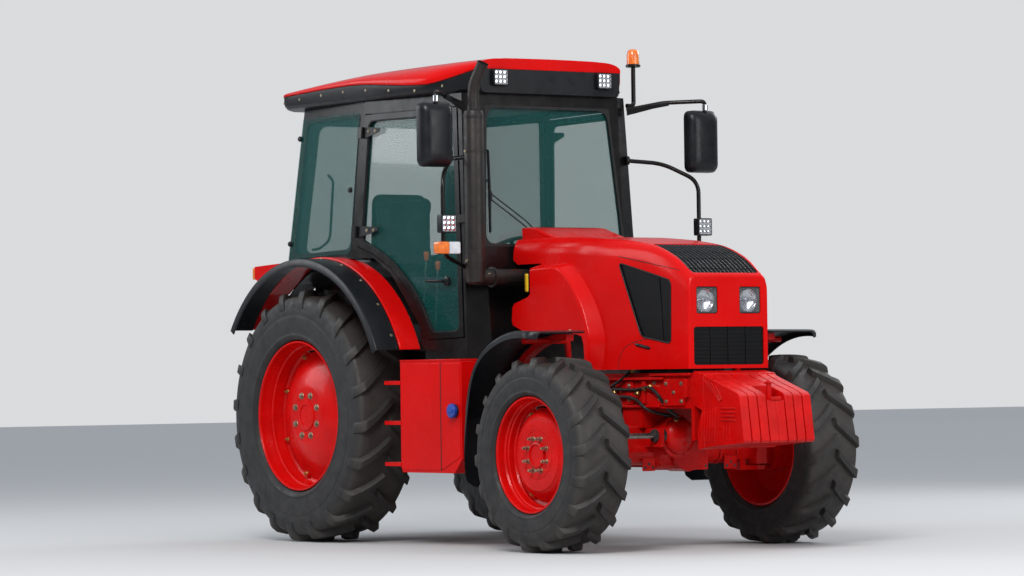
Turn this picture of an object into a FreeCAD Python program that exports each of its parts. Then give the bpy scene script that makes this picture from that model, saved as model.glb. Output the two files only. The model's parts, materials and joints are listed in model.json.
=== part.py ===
import FreeCAD, Part
import Sketcher
import math
import os
import re

from FreeCAD import Vector

os.makedirs("parts", exist_ok=True)

doc = FreeCAD.newDocument("farm_tractor")
sheet = doc.addObject("Spreadsheet::Sheet", "Size")

# Farm tractor. +X is forward, +Y its left side, +Z up, and it stands on Z = 0.
# Every x below is measured from the rear axle; the placement then moves each
# piece so that the origin lies under the middle of the whole tractor.

# Columns: name, value in millimetres or degrees, what it measures.
sizes = [
    ("wheelbase", 2450, "rear axle to front axle"),
    ("rear_overhang", 940, "rear axle back to the end of the lower links"),
    ("front_overhang", 1022, "front axle forward to the face of the ballast"),
    ("rear_track", 1552, "between the rear wheels' middle planes"),
    ("front_track", 1640, "between the front wheels' middle planes"),
    ("rear_radius", 768, "rear tyre to the tips of its lugs"),
    ("rear_tyre_width", 430, "rear tyre across its sidewalls"),
    ("rear_rim_radius", 457, "rear rim flange"),
    ("rear_rim_width", 382, "rear rim over its flanges"),
    ("rear_lug", 38, "height of a rear lug"),
    ("front_radius", 550, "front tyre to the tips of its lugs"),
    ("front_tyre_width", 357, "front tyre across its sidewalls"),
    ("front_rim_radius", 330, "front rim flange"),
    ("front_rim_width", 310, "front rim over its flanges"),
    ("front_lug", 34, "height of a front lug"),
    ("lug_width", 42, "thickness of a lug along the tread"),
    ("rear_lugs", 40, "lugs round a rear tyre"),
    ("front_lugs", 36, "lugs round a front tyre"),
    ("wheel_flats", 24, "flats round a casing and its rim"),
    ("rim_wall", 14, "thickness of rim and disc"),
    ("spindle_radius", 45, "wheel spindles"),
    ("bearing_gap", 0.05, "radial clearance at a turning fit"),
    ("seat_gap", 0.3, "clearance between pieces that don't move"),
    ("moving_gap", 6, "clearance round a door or the hood"),
    ("kingpin_y", 660, "steering pivot from the middle"),
    ("kingpin_radius", 30, "steering pivot pin"),
    ("steer_arm", 170, "steering pivot forward to the ball joint"),
    ("frame_half", 250, "outer faces of the front frame rails"),
    ("frame_plate", 30, "thickness of a front frame rail"),
    ("frame_top", 1000, "top of the front frame rails"),
    ("frame_bottom", 800, "bottom of the front frame rails"),
    ("engine_half", 220, "half width of engine and clutch housing"),
    ("engine_lead", 110, "front axle forward to the front of the engine"),
    ("engine_rear", 1400, "back of the engine from the rear axle"),
    ("housing_half", 190, "half width of the gearbox housing"),
    ("housing_top", 1085, "top of the gearbox housing"),
    ("ballast_half", 255, "half width of the ballast"),
    ("frame_lead", 581, "front axle forward to the back of the ballast"),
    ("ballast_groove", 5, "width of the joint between two weights"),
    ("nose_lead", 583, "front axle forward to the front face of the hood"),
    ("hood_back", 1400, "rear edge of the hood from the rear axle"),
    ("hood_pin_x", 1430, "hood hinge from the rear axle"),
    ("hood_pin_z", 1835, "hood hinge above the ground"),
    ("hood_pin_radius", 10, "hood hinge pin"),
    ("hood_wall", 10, "thickness of the hood panels"),
    ("hood_top", 1800, "highest level of the hood before the cowl"),
    ("nose_top", 1545, "top edge of the nose face"),
    ("hood_low", 1022, "lower edge of the hood"),
    ("flank_half", 418, "half width over the hood's raised flanks"),
    ("door_foot", 315, "door's lower rear corner from the rear axle"),
    ("pillar_width", 56, "pillar between door and side window"),
    ("door_top_rear", 372, "door's upper rear corner from the rear axle"),
    ("cab_front", 1420, "cab front at floor level from the rear axle"),
    ("cab_rear", -700, "cab rear at floor level from the rear axle"),
    ("cab_half", 760, "half width of the cab at its widest"),
    ("cab_floor", 1150, "top of the cab floor"),
    ("cab_sill", 1190, "lower edge of the doors"),
    ("cab_belt", 1720, "lower edge of the side windows"),
    ("cab_top", 2640, "top of the cab frame"),
    ("cab_wall", 45, "thickness of the doors and cab frame"),
    ("glass", 6, "thickness of the panes"),
    ("door_rim", 26, "width of the door's frame"),
    ("arch_radius", 955, "top of the rear mudguards from their centre"),
    ("arch_x", 60, "centre of the rear mudguards from the rear axle"),
    ("door_reach", 98, "mudguard out to the door's lower rear edge"),
    ("arch_wall", 12, "thickness of the mudguards"),
    ("arch_inner", 690, "inner edge of the red mudguards"),
    ("arch_middle", 835, "red mudguards to black extensions"),
    ("arch_outer", 1000, "outer edge of the black extensions"),
    ("arch_lip", 50, "depth of the extension's outer lip"),
    ("roof_half", 745, "half width of the roof"),
    ("roof_low", 2725, "edge of the red roof cap"),
    ("roof_high", 2875, "crown of the roof"),
    ("roof_rear", -700, "rear tip of the roof from the rear axle"),
    ("roof_front", 1345, "front of the roof from the rear axle"),
    ("front_guard_radius", 690, "front mudguards from the front axle"),
    ("front_guard_inner", 640, "inner edge of the front mudguards"),
    ("front_guard_outer", 1045, "outer edge of the front mudguards"),
    ("front_guard_wall", 8, "thickness of the front mudguards"),
    ("exhaust_x", 1500, "exhaust stack from the rear axle"),
    ("exhaust_y", 670, "exhaust stack from the middle"),
    ("exhaust_radius", 60, "exhaust stack"),
    ("box_half", 880, "outer face of the side boxes"),
    ("box_back", 1000, "back of the side boxes from the rear axle"),
    ("box_front", 1640, "front of the side boxes from the rear axle"),
    ("box_low", 434, "bottom of the side boxes"),
    ("box_high", 1097, "top of the side boxes"),
    ("step_reach", 170, "length of a step plate"),
    ("link_pin_x", -60, "lower link pivots from the rear axle"),
    ("link_pin_z", 560, "lower link pivots above the ground"),
    ("link_end_z", 480, "lower link ends above the ground"),
    ("link_pin_radius", 20, "lower link pivot pins"),
    ("shaft_x", -290, "rock shaft from the rear axle"),
    ("shaft_z", 1120, "rock shaft above the ground"),
    ("shaft_radius", 32, "rock shaft"),
    ("lift_reach", 335, "rock shaft back to the lift arms' tips"),
    ("lift_y", 315, "lift arms' inner faces from the middle"),
    ("deck_floor", 1370, "top of the raised deck under the chair"),
    ("deck_front", 170, "front edge of the raised deck from the rear axle"),
    ("link_pin_y", 230, "lower link pivots from the middle"),
    ("link_end_y", 410, "lower link ends from the middle"),
    ("ball_bore", 14.35, "radius of the bores in the lower link ends"),
    ("ball_width", 45, "width of the lower link ends"),
    ("top_link_x", -800, "top link's end from the rear axle"),
    ("top_link_z", 760, "top link's end above the ground"),
    ("top_bore", 12.8, "radius of the bore in the top link's end"),
    ("drawbar_bore", 16, "radius of the drawbar's hole"),
    ("pto_radius", 17.4, "radius of the power take-off stub"),
    ("tow_pin_radius", 15, "radius of the front towing pin"),
    ("stub_length", 80, "power take-off stub past its boss"),
    ("ball_toe", 2, "turn of the lower link ends in their sockets"),
    ("rail_radius", 13, "handrail tube"),
    ("lamp_side", 105, "square work lamps"),
    ("rail_x", 1561, "handrails' upright run from the rear axle"),
    ("rail_y", 936, "handrails' upright run from the middle"),
    ("mirror_x", 1574, "mirror posts from the rear axle"),
    ("mirror_y", 985, "mirror heads from the middle"),
    ("beacon_x", 1275, "beacon from the rear axle"),
    ("beacon_y", 668, "beacon from the middle"),
    ("tyre_gap", 26, "rear tyres to the cab's tub"),
]
for row, (name, number, note) in enumerate(sizes, 1):
    sheet.set("A%d" % row, name)
    sheet.set("B%d" % row, str(number))
    sheet.set("C%d" % row, note)
    sheet.setAlias("B%d" % row, name)
doc.recompute()

names = {name for name, number, note in sizes}
middle_x = "(rear_overhang - wheelbase - front_overhang) / 2"
nodes = []


def tied(text):
    """Writes an expression with the sheet's name before each size."""
    return re.sub(
        "[a-z][a-z_]+",
        lambda word: "Size." + word.group() if word.group() in names else word.group(),
        str(text),
    )


def v(text):
    """The present value of an expression of sizes."""
    return float(sheet.evalExpression(str(text)))


def place(thing):
    thing.setExpression("Placement.Base.x", tied(middle_x))
    return thing


def node(thing, name):
    """Names a finished sub-part after its file."""
    thing.Label = name
    nodes.append(thing)
    return thing


def feature(shape, name="Feature"):
    thing = doc.addObject("Part::Feature", name)
    thing.Shape = shape
    thing.Placement = FreeCAD.Placement(Vector(v(middle_x), 0, 0), FreeCAD.Rotation())
    return place(thing)


def block(x0, x1, y0, y1, z0, z1, name="Block"):
    """A box between two corners, each side an expression of sizes."""
    thing = doc.addObject("Part::Box", name)
    thing.setExpression("Length", tied("(%s) - (%s)" % (x1, x0)))
    thing.setExpression("Width", tied("(%s) - (%s)" % (y1, y0)))
    thing.setExpression("Height", tied("(%s) - (%s)" % (z1, z0)))
    thing.setExpression("Placement.Base.x", tied("%s + (%s)" % (middle_x, x0)))
    thing.setExpression("Placement.Base.y", tied(y0))
    thing.setExpression("Placement.Base.z", tied(z0))
    return thing


turns = {
    "x": FreeCAD.Rotation(Vector(0, 1, 0), 90),
    "y": FreeCAD.Rotation(Vector(1, 0, 0), -90),
    "z": FreeCAD.Rotation(),
}


def drum(axis, radius, length, x, y, z, name="Drum"):
    """A cylinder that starts at x, y, z and runs along an axis."""
    thing = doc.addObject("Part::Cylinder", name)
    thing.Placement = FreeCAD.Placement(Vector(), turns[axis])
    thing.setExpression("Radius", tied(radius))
    thing.setExpression("Height", tied(length))
    thing.setExpression("Placement.Base.x", tied("%s + (%s)" % (middle_x, x)))
    thing.setExpression("Placement.Base.y", tied(y))
    thing.setExpression("Placement.Base.z", tied(z))
    return thing


def casting(axis, radius, length, x, y, z, sides=12):
    """A many-sided boss or housing that starts at x, y, z and runs along an axis."""
    thing = doc.addObject("Part::Prism", "Casting")
    thing.Polygon = sides
    thing.Placement = FreeCAD.Placement(Vector(), turns[axis])
    thing.setExpression("Circumradius", tied(radius))
    thing.setExpression("Height", tied(length))
    thing.setExpression("Placement.Base.x", tied("%s + (%s)" % (middle_x, x)))
    thing.setExpression("Placement.Base.y", tied(y))
    thing.setExpression("Placement.Base.z", tied(z))
    return thing


def joined(*things):
    thing = doc.addObject("Part::MultiFuse", "Joined")
    thing.Shapes = list(things)
    return thing


def less(base, *tools):
    thing = doc.addObject("Part::Cut", "Less")
    thing.Base = base
    thing.Tool = tools[0] if len(tools) == 1 else joined(*tools)
    return thing


def mirrored(thing):
    other = doc.addObject("Part::Mirroring", "Other")
    other.Source = thing
    other.Base = Vector(0, 0, 0)
    other.Normal = Vector(0, 1, 0)
    return other


def group(*things):
    thing = doc.addObject("Part::Compound", "Group")
    thing.Links = list(things)
    return thing


def both(thing):
    return group(thing, mirrored(thing))


def drawn(body, plane, points):
    """A closed outline on one of the body's planes, every corner tied to sizes."""
    outline = body.newObject("Sketcher::SketchObject", "Outline")
    planes = [face for face in body.Origin.OriginFeatures if face.Role == plane]
    outline.AttachmentSupport = [(planes[0], "")]
    outline.MapMode = "FlatFace"
    corners = [Vector(v(across), v(up), 0) for across, up in points]
    for at, corner in enumerate(corners):
        outline.addGeometry(Part.LineSegment(corner, corners[(at + 1) % len(corners)]))
    for at in range(len(corners)):
        after = (at + 1) % len(corners)
        outline.addConstraint(Sketcher.Constraint("Coincident", at, 2, after, 1))
    for at, pair in enumerate(points):
        for kind, text in zip(("DistanceX", "DistanceY"), pair):
            rule = Sketcher.Constraint(kind, -1, 1, at, 1, v(text))
            number = outline.addConstraint(rule)
            outline.setExpression("Constraints[%d]" % number, tied(text))
    return outline


def prism(points, half, name="Prism"):
    """A side-view outline, x and z, padded to both sides of the middle."""
    body = doc.addObject("PartDesign::Body", name)
    pad = body.newObject("PartDesign::Pad", "Pad")
    pad.Profile = drawn(body, "XZ_Plane", points)
    pad.Midplane = True
    pad.setExpression("Length", tied("2 * (%s)" % half))
    return place(body)


def at_axle(thing, x, z):
    thing.setExpression("Placement.Base.x", tied("%s + (%s)" % (middle_x, x)))
    thing.setExpression("Placement.Base.z", tied(z))
    return thing


def face_of(corners):
    return Part.Face(Part.makePolygon(corners + corners[:1]))


def rod(start, end, radius):
    run = end - start
    return Part.makeCylinder(radius, run.Length, start, run)


def bar(start, end, width, height):
    """A rectangular bar from one point to another."""
    run = end - start
    shape = Part.makeBox(run.Length, width, height, Vector(0, -width / 2, -height / 2))
    turn = FreeCAD.Rotation(run, Vector(0, 1, 0), Vector(0, 0, 1), "XYZ")
    shape.Placement = FreeCAD.Placement(start, turn)
    return shape


def tube(points, radius, sides=8):
    """A tube along straight runs, mitred where they meet."""
    run = points[1] - points[0]
    turn = FreeCAD.Rotation(Vector(0, 0, 1), run)
    corners = []
    for at in range(sides):
        angle = 2 * math.pi * (at + 0.5) / sides
        spot = Vector(radius * math.cos(angle), radius * math.sin(angle), 0)
        corners.append(points[0] + turn.multVec(spot))
    ring = Part.makePolygon(corners + corners[:1])
    return Part.makePolygon(points).makePipeShell([ring], True, False, 1)


def skin(rings):
    """A closed solid through rings of corners, as many in each ring."""
    faces = [face_of(rings[0]), face_of(rings[-1])]
    for ring, following in zip(rings, rings[1:]):
        for at in range(len(ring)):
            after = (at + 1) % len(ring)
            quad = [ring[at], ring[after], following[after], following[at]]
            normal = (quad[1] - quad[0]).cross(quad[3] - quad[0])
            if abs(normal.dot(quad[2] - quad[0])) < 1e-6 * normal.Length:
                faces.append(face_of(quad))
            else:
                faces.append(face_of([quad[0], quad[1], quad[2]]))
                faces.append(face_of([quad[0], quad[2], quad[3]]))
    solid = Part.Solid(Part.Shell(faces))
    if solid.Volume < 0:
        solid.reverse()
    return solid


def lathe(profile, count):
    """A ring of flats about the y axis. Each corner of the profile is a radius and a y."""
    step = 2 * math.pi / count
    faces = []
    for at in range(count):
        angles = (at * step - step / 2, at * step + step / 2)
        rays = [Vector(math.sin(angle), 0, math.cos(angle)) for angle in angles]
        for here, after in zip(profile, profile[1:] + profile[:1]):
            corners = [
                rays[0] * here[0] + Vector(0, here[1], 0),
                rays[1] * here[0] + Vector(0, here[1], 0),
                rays[1] * after[0] + Vector(0, after[1], 0),
                rays[0] * after[0] + Vector(0, after[1], 0),
            ]
            faces.append(face_of(corners))
    ring = Part.Solid(Part.Shell(faces))
    if ring.Volume < 0:
        ring.reverse()
    return ring


def one(shapes):
    """Several shapes fused, with the seams between flat faces removed."""
    whole = shapes[0].multiFuse(shapes[1:])
    return whole.removeSplitter()


# Wheels


def lug(radius, height, half_width, skew):
    """One chevron bar over the tread and shoulder, in the wheel's own frame:
    x along the tread, y across it and z outward from the axle."""
    wide = v("lug_width") / math.cos(skew)
    start = -half_width * math.tan(skew) / 2 - wide / 2
    slope = math.tan(skew)

    def corner(across, out):
        return Vector(start + across * slope, across, out)

    def crest(across):
        reach = max(abs(start + across * slope), abs(start + across * slope + wide))
        return math.sqrt(radius**2 - reach**2)

    base = radius - height - 12
    outline = [
        corner(6, base),
        corner(6, crest(6)),
        corner(half_width - 34, crest(half_width - 34) - 3),
        corner(half_width + 2, base - 34),
        corner(half_width - 24, base - 34),
    ]
    return face_of(outline).extrude(Vector(wide, 0, 0))


def tyre(radius, width, rim, rim_width, height, count):
    """A casing with its lugs fused to it."""
    tread = radius - height
    profile = [
        (rim, rim_width / 2),
        (rim + (tread - rim) * 0.5, width / 2),
        (tread, width / 2 - 34),
    ]
    profile += [(out, -across) for out, across in reversed(profile)]
    step = 2 * math.pi / count
    casing = lathe(profile, round(v("wheel_flats")))
    first = lug(radius, height, width / 2, math.radians(38))
    second = first.mirror(Vector(), Vector(0, 1, 0))
    lugs = []
    for at in range(count):
        bar_shape = (second if at % 2 else first).copy()
        bar_shape.rotate(Vector(), Vector(0, 1, 0), math.degrees(at * step) + 180)
        lugs.append(bar_shape)
    return casing.multiFuse(lugs)


def wheel_rim(radius, rim_width, disc, hub, face):
    """A rim with its disc bulging outward to a flat hub, bored for the spindle."""
    wall = v("rim_wall")
    well = radius - 50
    profile = [
        (radius, rim_width / 2),
        (radius - wall, rim_width / 2),
        (well, disc + wall),
        (face, hub),
        (30, hub),
        (30, hub - 60),
        (face - 55, hub - 60),
        (well - 6, disc - 6),
        (radius - wall, -rim_width / 2),
        (radius, -rim_width / 2),
    ]
    bore = v("spindle_radius + bearing_gap")
    hole = Part.makeCylinder(bore, 400, Vector(0, disc - 200, 0), Vector(0, 1, 0))
    return lathe(profile, round(v("wheel_flats"))).cut(hole)


# Columns: end of the tractor, axle x, disc edge and hub face from the middle plane,
# radius of the hub face
wheel_rows = [
    ("rear", "0", 10, 128, 175),
    ("front", "wheelbase", 10, 100, 205),
]
for end, axle, disc, hub, face in wheel_rows:
    radius = v("%s_rim_radius" % end)
    rim_width = v("%s_rim_width" % end)
    rim = feature(wheel_rim(radius, rim_width, disc, hub, face), "Rim")
    casing = tyre(
        v("%s_radius" % end),
        v("%s_tyre_width" % end),
        radius,
        rim_width,
        v("%s_lug" % end),
        round(v("%s_lugs" % end)),
    )
    tyre_left = feature(casing, "Tyre")
    for thing, kind in ((rim, "rim"), (tyre_left, "tyre")):
        at_axle(thing, axle, "%s_radius" % end)
        thing.setExpression("Placement.Base.y", tied("%s_track / 2" % end))
        node(thing, "%s_left_%s" % (end, kind))
        node(mirrored(thing), "%s_right_%s" % (end, kind))


# Engine, gearbox and axles

engine = joined(
    block("engine_rear", "wheelbase - 110", "-engine_half", "engine_half", "640", "1095"),
    block(
        "wheelbase - 110", "wheelbase + engine_lead", "-engine_half", "engine_half", "frame_bottom", "1095"
    ),
    block("engine_rear + 60", "wheelbase + engine_lead - 60", "-200", "200", "1095", "1620"),
    block("wheelbase + engine_lead", "wheelbase + nose_lead - 305", "-200", "200", "1010", "1560"),
    block("engine_rear", "engine_rear + 60", "-100", "100", "1500", "1620"),
    block("hood_pin_x - 15", "hood_pin_x + 15", "-40", "40", "1620", "hood_pin_z + 15"),
    drum("y", "hood_pin_radius", "220", "hood_pin_x", "-110", "hood_pin_z"),
)
node(engine, "engine_block")

gearbox = joined(
    block("-300", "engine_rear", "-housing_half", "housing_half", "520", "housing_top"),
    casting("y", "230", "2 * housing_half", "0", "-housing_half", "rear_radius"),
    casting("y", "95", "2 * 520", "0", "-520", "rear_radius"),
    drum("y", "spindle_radius", "rear_track + 230", "0", "-rear_track / 2 - 115", "rear_radius"),
    casting("y", "120", "2 * 570", "0", "-570", "rear_radius"),
    drum(
        "y",
        "link_pin_radius",
        "2 * link_pin_y + 50",
        "link_pin_x",
        "-link_pin_y - 25",
        "link_pin_z",
    ),
    block("shaft_x - 70", "shaft_x + 160", "-130", "130", "housing_top", "shaft_z + 60"),
)
shaft_bore = drum(
    "y", "shaft_radius + bearing_gap", "400", "shaft_x", "-200", "shaft_z"
)
node(less(gearbox, shaft_bore), "transmission_housing")

rail = block(
    "wheelbase - 420",
    "wheelbase + frame_lead - 30",
    "frame_half - frame_plate",
    "frame_half",
    "frame_bottom",
    "frame_top",
)
front_plate = block(
    "wheelbase + frame_lead - 30", "wheelbase + frame_lead", "-frame_half", "frame_half", "620", "frame_top"
)
axle_seat = block(
    "wheelbase - 90", "wheelbase + 90", "-frame_half", "frame_half", "690", "frame_bottom"
)
node(joined(rail, mirrored(rail), front_plate, axle_seat), "front_frame")

ballast = prism(
    [
        ("wheelbase + frame_lead", "1009"),
        ("wheelbase + frame_lead + 92", "994"),
        ("wheelbase + front_overhang - 38", "877"),
        ("wheelbase + front_overhang", "612"),
        ("wheelbase + frame_lead + 35", "571"),
        ("wheelbase + frame_lead + 25", "674"),
        ("wheelbase + frame_lead + 71", "789"),
        ("wheelbase + frame_lead", "815"),
    ],
    "ballast_half",
    "Ballast",
)
grooves = []
for at in range(1, 8):
    side = "-ballast_half + %d * ballast_half / 4" % at
    grooves.append(
        block(
            "wheelbase + frame_lead + 95",
            "wheelbase + front_overhang + 1",
            "%s - ballast_groove / 2" % side,
            "%s + ballast_groove / 2" % side,
            "560",
            "1010",
        )
    )
keep = prism(
    [
        ("wheelbase + frame_lead + 90", "983"),
        ("wheelbase + front_overhang - 50", "866"),
        ("wheelbase + front_overhang - 14", "626"),
        ("wheelbase + frame_lead + 90", "585"),
    ],
    "ballast_half",
    "Core",
)
tow_slot = block(
    "wheelbase + front_overhang - 170",
    "wheelbase + front_overhang + 10",
    "-36",
    "36",
    "840",
    "1010",
)
tow_pin = drum(
    "z",
    "tow_pin_radius",
    "150",
    "wheelbase + front_overhang - 90",
    "0",
    "800",
)
weights = less(ballast, less(joined(*grooves), keep), tow_slot)
node(joined(weights, tow_pin), "ballast_weights")

beam = joined(
    casting("y", "75", "2 * kingpin_y", "wheelbase", "-kingpin_y", "front_radius", 8),
    casting("x", "125", "180", "wheelbase - 60", "60", "front_radius + 10"),
    block("wheelbase - 85", "wheelbase + 85", "-120", "190", "470", "690 - seat_gap"),
)
yoke_plates = []
for low in ("front_radius - 118", "front_radius + 92"):
    yoke_plates.append(casting("z", "62", "26", "wheelbase", "kingpin_y", low, 8))
    yoke_plates.append(
        block(
            "wheelbase - 45",
            "wheelbase + 45",
            "kingpin_y - 170",
            "kingpin_y",
            low,
            "%s + 26" % low,
        )
    )
yoke_back = block(
    "wheelbase - 45",
    "wheelbase + 45",
    "kingpin_y - 170",
    "kingpin_y - 130",
    "front_radius - 118",
    "front_radius + 118",
)
cylinder_z = "front_radius + 95"
cylinder_ear = less(
    block(
        "wheelbase + 60",
        "wheelbase + steer_arm + 50",
        "192",
        "217",
        "front_radius + 30",
        "front_radius + 138",
    ),
    casting(
        "y", "38 + seat_gap", "100", "wheelbase + steer_arm", "150", cylinder_z
    ),
)
yoke = joined(yoke_back, cylinder_ear, *yoke_plates)
pin_bores = drum(
    "z",
    "kingpin_radius + bearing_gap",
    "400",
    "wheelbase",
    "kingpin_y",
    "front_radius - 200",
)
swing_room = casting("z", "136", "2 * 92", "wheelbase", "kingpin_y", "front_radius - 92")
whole_beam = joined(beam, yoke, mirrored(yoke))
node(
    less(whole_beam, pin_bores, mirrored(pin_bores), swing_room, mirrored(swing_room)),
    "front_axle_beam",
)

knuckle = joined(
    casting("z", "82", "2 * 84", "wheelbase", "kingpin_y", "front_radius - 84", 8),
    drum("z", "kingpin_radius", "2 * 116", "wheelbase", "kingpin_y", "front_radius - 116"),
    casting("y", "125", "118", "wheelbase", "kingpin_y + 66", "front_radius"),
    block(
        "wheelbase - 135",
        "wheelbase - 60",
        "kingpin_y - 30",
        "kingpin_y + 15",
        "front_radius + 10",
        "front_radius + 50",
    ),
    drum(
        "y",
        "spindle_radius",
        "front_track / 2 + 88 - kingpin_y",
        "wheelbase",
        "kingpin_y",
        "front_radius",
    ),
    block(
        "wheelbase",
        "wheelbase + steer_arm",
        "kingpin_y - 75",
        "kingpin_y - 45",
        "front_radius + 40",
        "front_radius + 70",
    ),
    casting(
        "z",
        "26",
        "30",
        "wheelbase + steer_arm",
        "kingpin_y - 75",
        "front_radius + 40",
        8,
    ),
)
guard_z = v("front_radius")
guard_reach = v("front_guard_radius")
axle_x = v("wheelbase")


def guard_point(angle, radius, across):
    turn = math.radians(angle)
    return Vector(
        axle_x + radius * math.cos(turn), across, guard_z + radius * math.sin(turn)
    )


def arc_line(centre, radius, first, last):
    """Points round an axis along y, one every nine degrees or so."""
    steps = max(3, round((last - first) / 9))
    turns = [math.radians(first + (last - first) * at / steps) for at in range(steps + 1)]
    return [centre + Vector(math.cos(turn), 0, math.sin(turn)) * radius for turn in turns]


def arc_band(centre, inner, outer, first, last, low_y, high_y):
    """A sheet bent round an axis along y, between two angles and two sides."""
    corners = arc_line(centre, outer, first, last)
    corners += reversed(arc_line(centre, inner, first, last))
    outline = face_of(corners)
    outline.translate(Vector(0, low_y, 0))
    return outline.extrude(Vector(0, high_y - low_y, 0))


axle_centre = Vector(axle_x, 0, guard_z)
stay = tube(
    [
        Vector(axle_x - 115, v("kingpin_y") - 8, guard_z + 40),
        Vector(axle_x - 115, v("kingpin_y") - 62, guard_z + 300),
        guard_point(100, guard_reach - 40, v("kingpin_y") - 40),
        guard_point(100, guard_reach - 40, v("front_guard_outer") - 120),
    ],
    18,
)
stay_arc = arc_band(
    axle_centre,
    guard_reach - 50,
    guard_reach - 12,
    85,
    150,
    v("kingpin_y") + 40,
    v("kingpin_y") + 90,
)
knuckle_left = joined(knuckle, feature(one([stay, stay_arc]), "Stay"))
node(knuckle_left, "knuckle_left")
node(mirrored(knuckle_left), "knuckle_right")

guard_sheet = arc_band(
    axle_centre,
    guard_reach,
    guard_reach + v("front_guard_wall"),
    80,
    196,
    v("front_guard_inner"),
    v("front_guard_outer"),
)
guard_lip = arc_band(
    axle_centre,
    guard_reach - 34,
    guard_reach + 1,
    80,
    196,
    v("front_guard_outer") - v("front_guard_wall"),
    v("front_guard_outer"),
)
guard_pad = arc_band(
    axle_centre,
    guard_reach - 12 + v("seat_gap"),
    guard_reach + 1,
    85,
    150,
    v("kingpin_y") + 45,
    v("kingpin_y") + 85,
)
outer_y = v("front_guard_outer")
taper = face_of(
    [
        Vector(axle_x - 1000, outer_y + 5, guard_z + 600),
        Vector(axle_x - 1000, outer_y, guard_z + 560),
        Vector(axle_x - 1000, outer_y - 115, guard_z - 190),
        Vector(axle_x - 1000, outer_y + 5, guard_z - 190),
    ]
).extrude(Vector(1000, 0, 0))
guard = feature(one([guard_sheet, guard_lip, guard_pad]).cut(taper), "Guard")
node(guard, "front_mudguard_left")
node(mirrored(guard), "front_mudguard_right")

cylinder = less(
    casting("y", "38", "2 * 230", "wheelbase + steer_arm", "-230", cylinder_z),
    drum("y", "16 + bearing_gap", "2 * 240", "wheelbase + steer_arm", "-240", cylinder_z),
)
node(cylinder, "steering_cylinder")

steering_rod = joined(
    drum("y", "16", "2 * (kingpin_y - 95)", "wheelbase + steer_arm", "95 - kingpin_y", cylinder_z),
    casting("z", "26", "34", "wheelbase + steer_arm", "kingpin_y - 85", "front_radius + 78", 8),
    casting("z", "26", "34", "wheelbase + steer_arm", "85 - kingpin_y", "front_radius + 78", 8),
)
node(steering_rod, "steering_rod")


# Hood

hood_top = v("hood_top")
nose_x = v("wheelbase + nose_lead")
hood_low = v("hood_low")

# Columns: x from the rear axle, half width low, half width at the shoulder,
# shoulder height, half width of the flat top, top height.
hood_rows = [
    (v("hood_back"), 350, 328, hood_top - 110, 280, hood_top),
    (v("hood_back") + 350, 356, 334, hood_top - 110, 280, hood_top),
    (v("hood_back") + 700, 356, 338, hood_top - 120, 270, hood_top - 10),
    (nose_x - 398, 300, 300, hood_top - 178, 244, hood_top - 66),
    (nose_x - 165, 291, 292, hood_top - 265, 250, hood_top - 145),
    (nose_x, 284, 284, v("nose_top") - 95, 240, v("nose_top")),
]


def hood_section(row, inset):
    """One cross-section, its shoulders rounded in four flats."""
    x, low, shoulder, level, flat, top = row
    top = top - inset
    level = level - inset * 0.6
    shoulder = shoulder - inset
    flat = flat - inset * 0.5
    right = [(low - inset, hood_low - 120)]
    for at in range(5):
        turn = math.pi / 2 * at / 4
        across = flat + (shoulder - flat) * math.cos(turn)
        right.append((across, level + (top - level) * math.sin(turn)))
    points = right + [(-across, up) for across, up in reversed(right)]
    return [Vector(x, across, up) for across, up in points]


def hood_loft(inset, back, front):
    rows = [list(row) for row in hood_rows]
    rows[0][0] += back
    rows[-1][0] += front
    return skin([hood_section(row, inset) for row in rows])


def side_cut(points, low_y, high_y):
    """A side-view outline of x and z, as a solid between two sides."""
    corners = [Vector(x, low_y, z) for x, z in points]
    return face_of(corners).extrude(Vector(0, high_y - low_y, 0))


def front_cut(points, low_x, high_x):
    corners = [Vector(low_x, y, z) for y, z in points]
    return face_of(corners).extrude(Vector(high_x - low_x, 0, 0))


hood_wall = v("hood_wall")
back = v("hood_back")
hood_outline = [
    (back - 5, hood_top + 100),
    (back - 5, hood_top - 120),
    (back + 45, hood_top - 152),
    (back + 290, hood_top - 152),
    (back + 288, hood_top - 338),
    (back + 110, hood_top - 390),
    (back + 103, hood_top - 507),
    (back + 246, hood_top - 559),
    (axle_x - 250, hood_top - 572),
    (axle_x - 225, hood_low),
    (nose_x + 50, hood_low),
    (nose_x + 50, hood_top + 100),
]
side_mesh = [
    (axle_x - 23, hood_top - 169),
    (axle_x + 430, hood_top - 280),
    (axle_x + 424, hood_top - 635),
    (axle_x + 165, hood_top - 592),
]

# Columns: x and z on the flank's flat face, then x and z where it meets the hood's side.
flank_rows = [
    (back - 40, hood_top - 188, back - 40, hood_top - 145),
    (back + 585, hood_top - 178, back + 625, hood_top - 135),
    (axle_x - 290, hood_top - 370, axle_x - 205, hood_top - 345),
    (axle_x - 188, hood_top - 600, axle_x - 98, hood_top - 600),
    (axle_x - 205, hood_top - 690, axle_x - 120, hood_top - 760),
    (back - 40, hood_top - 690, back - 40, hood_top - 760),
]


def flank(inset):
    """One side's raised flank, a flat face with sloping edges."""
    rings = ([], [])
    for face_x, face_z, root_x, root_z in flank_rows:
        for ring, x, z, y in (
            (rings[0], face_x, face_z, v("flank_half") - inset),
            (rings[1], root_x, root_z, 280),
        ):
            in_x = min(x, x - inset) if x > back else x
            in_z = z - inset if z > hood_top - 500 else z
            ring.append(Vector(in_x, y, in_z))
    return skin([rings[1], rings[0]])


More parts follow.
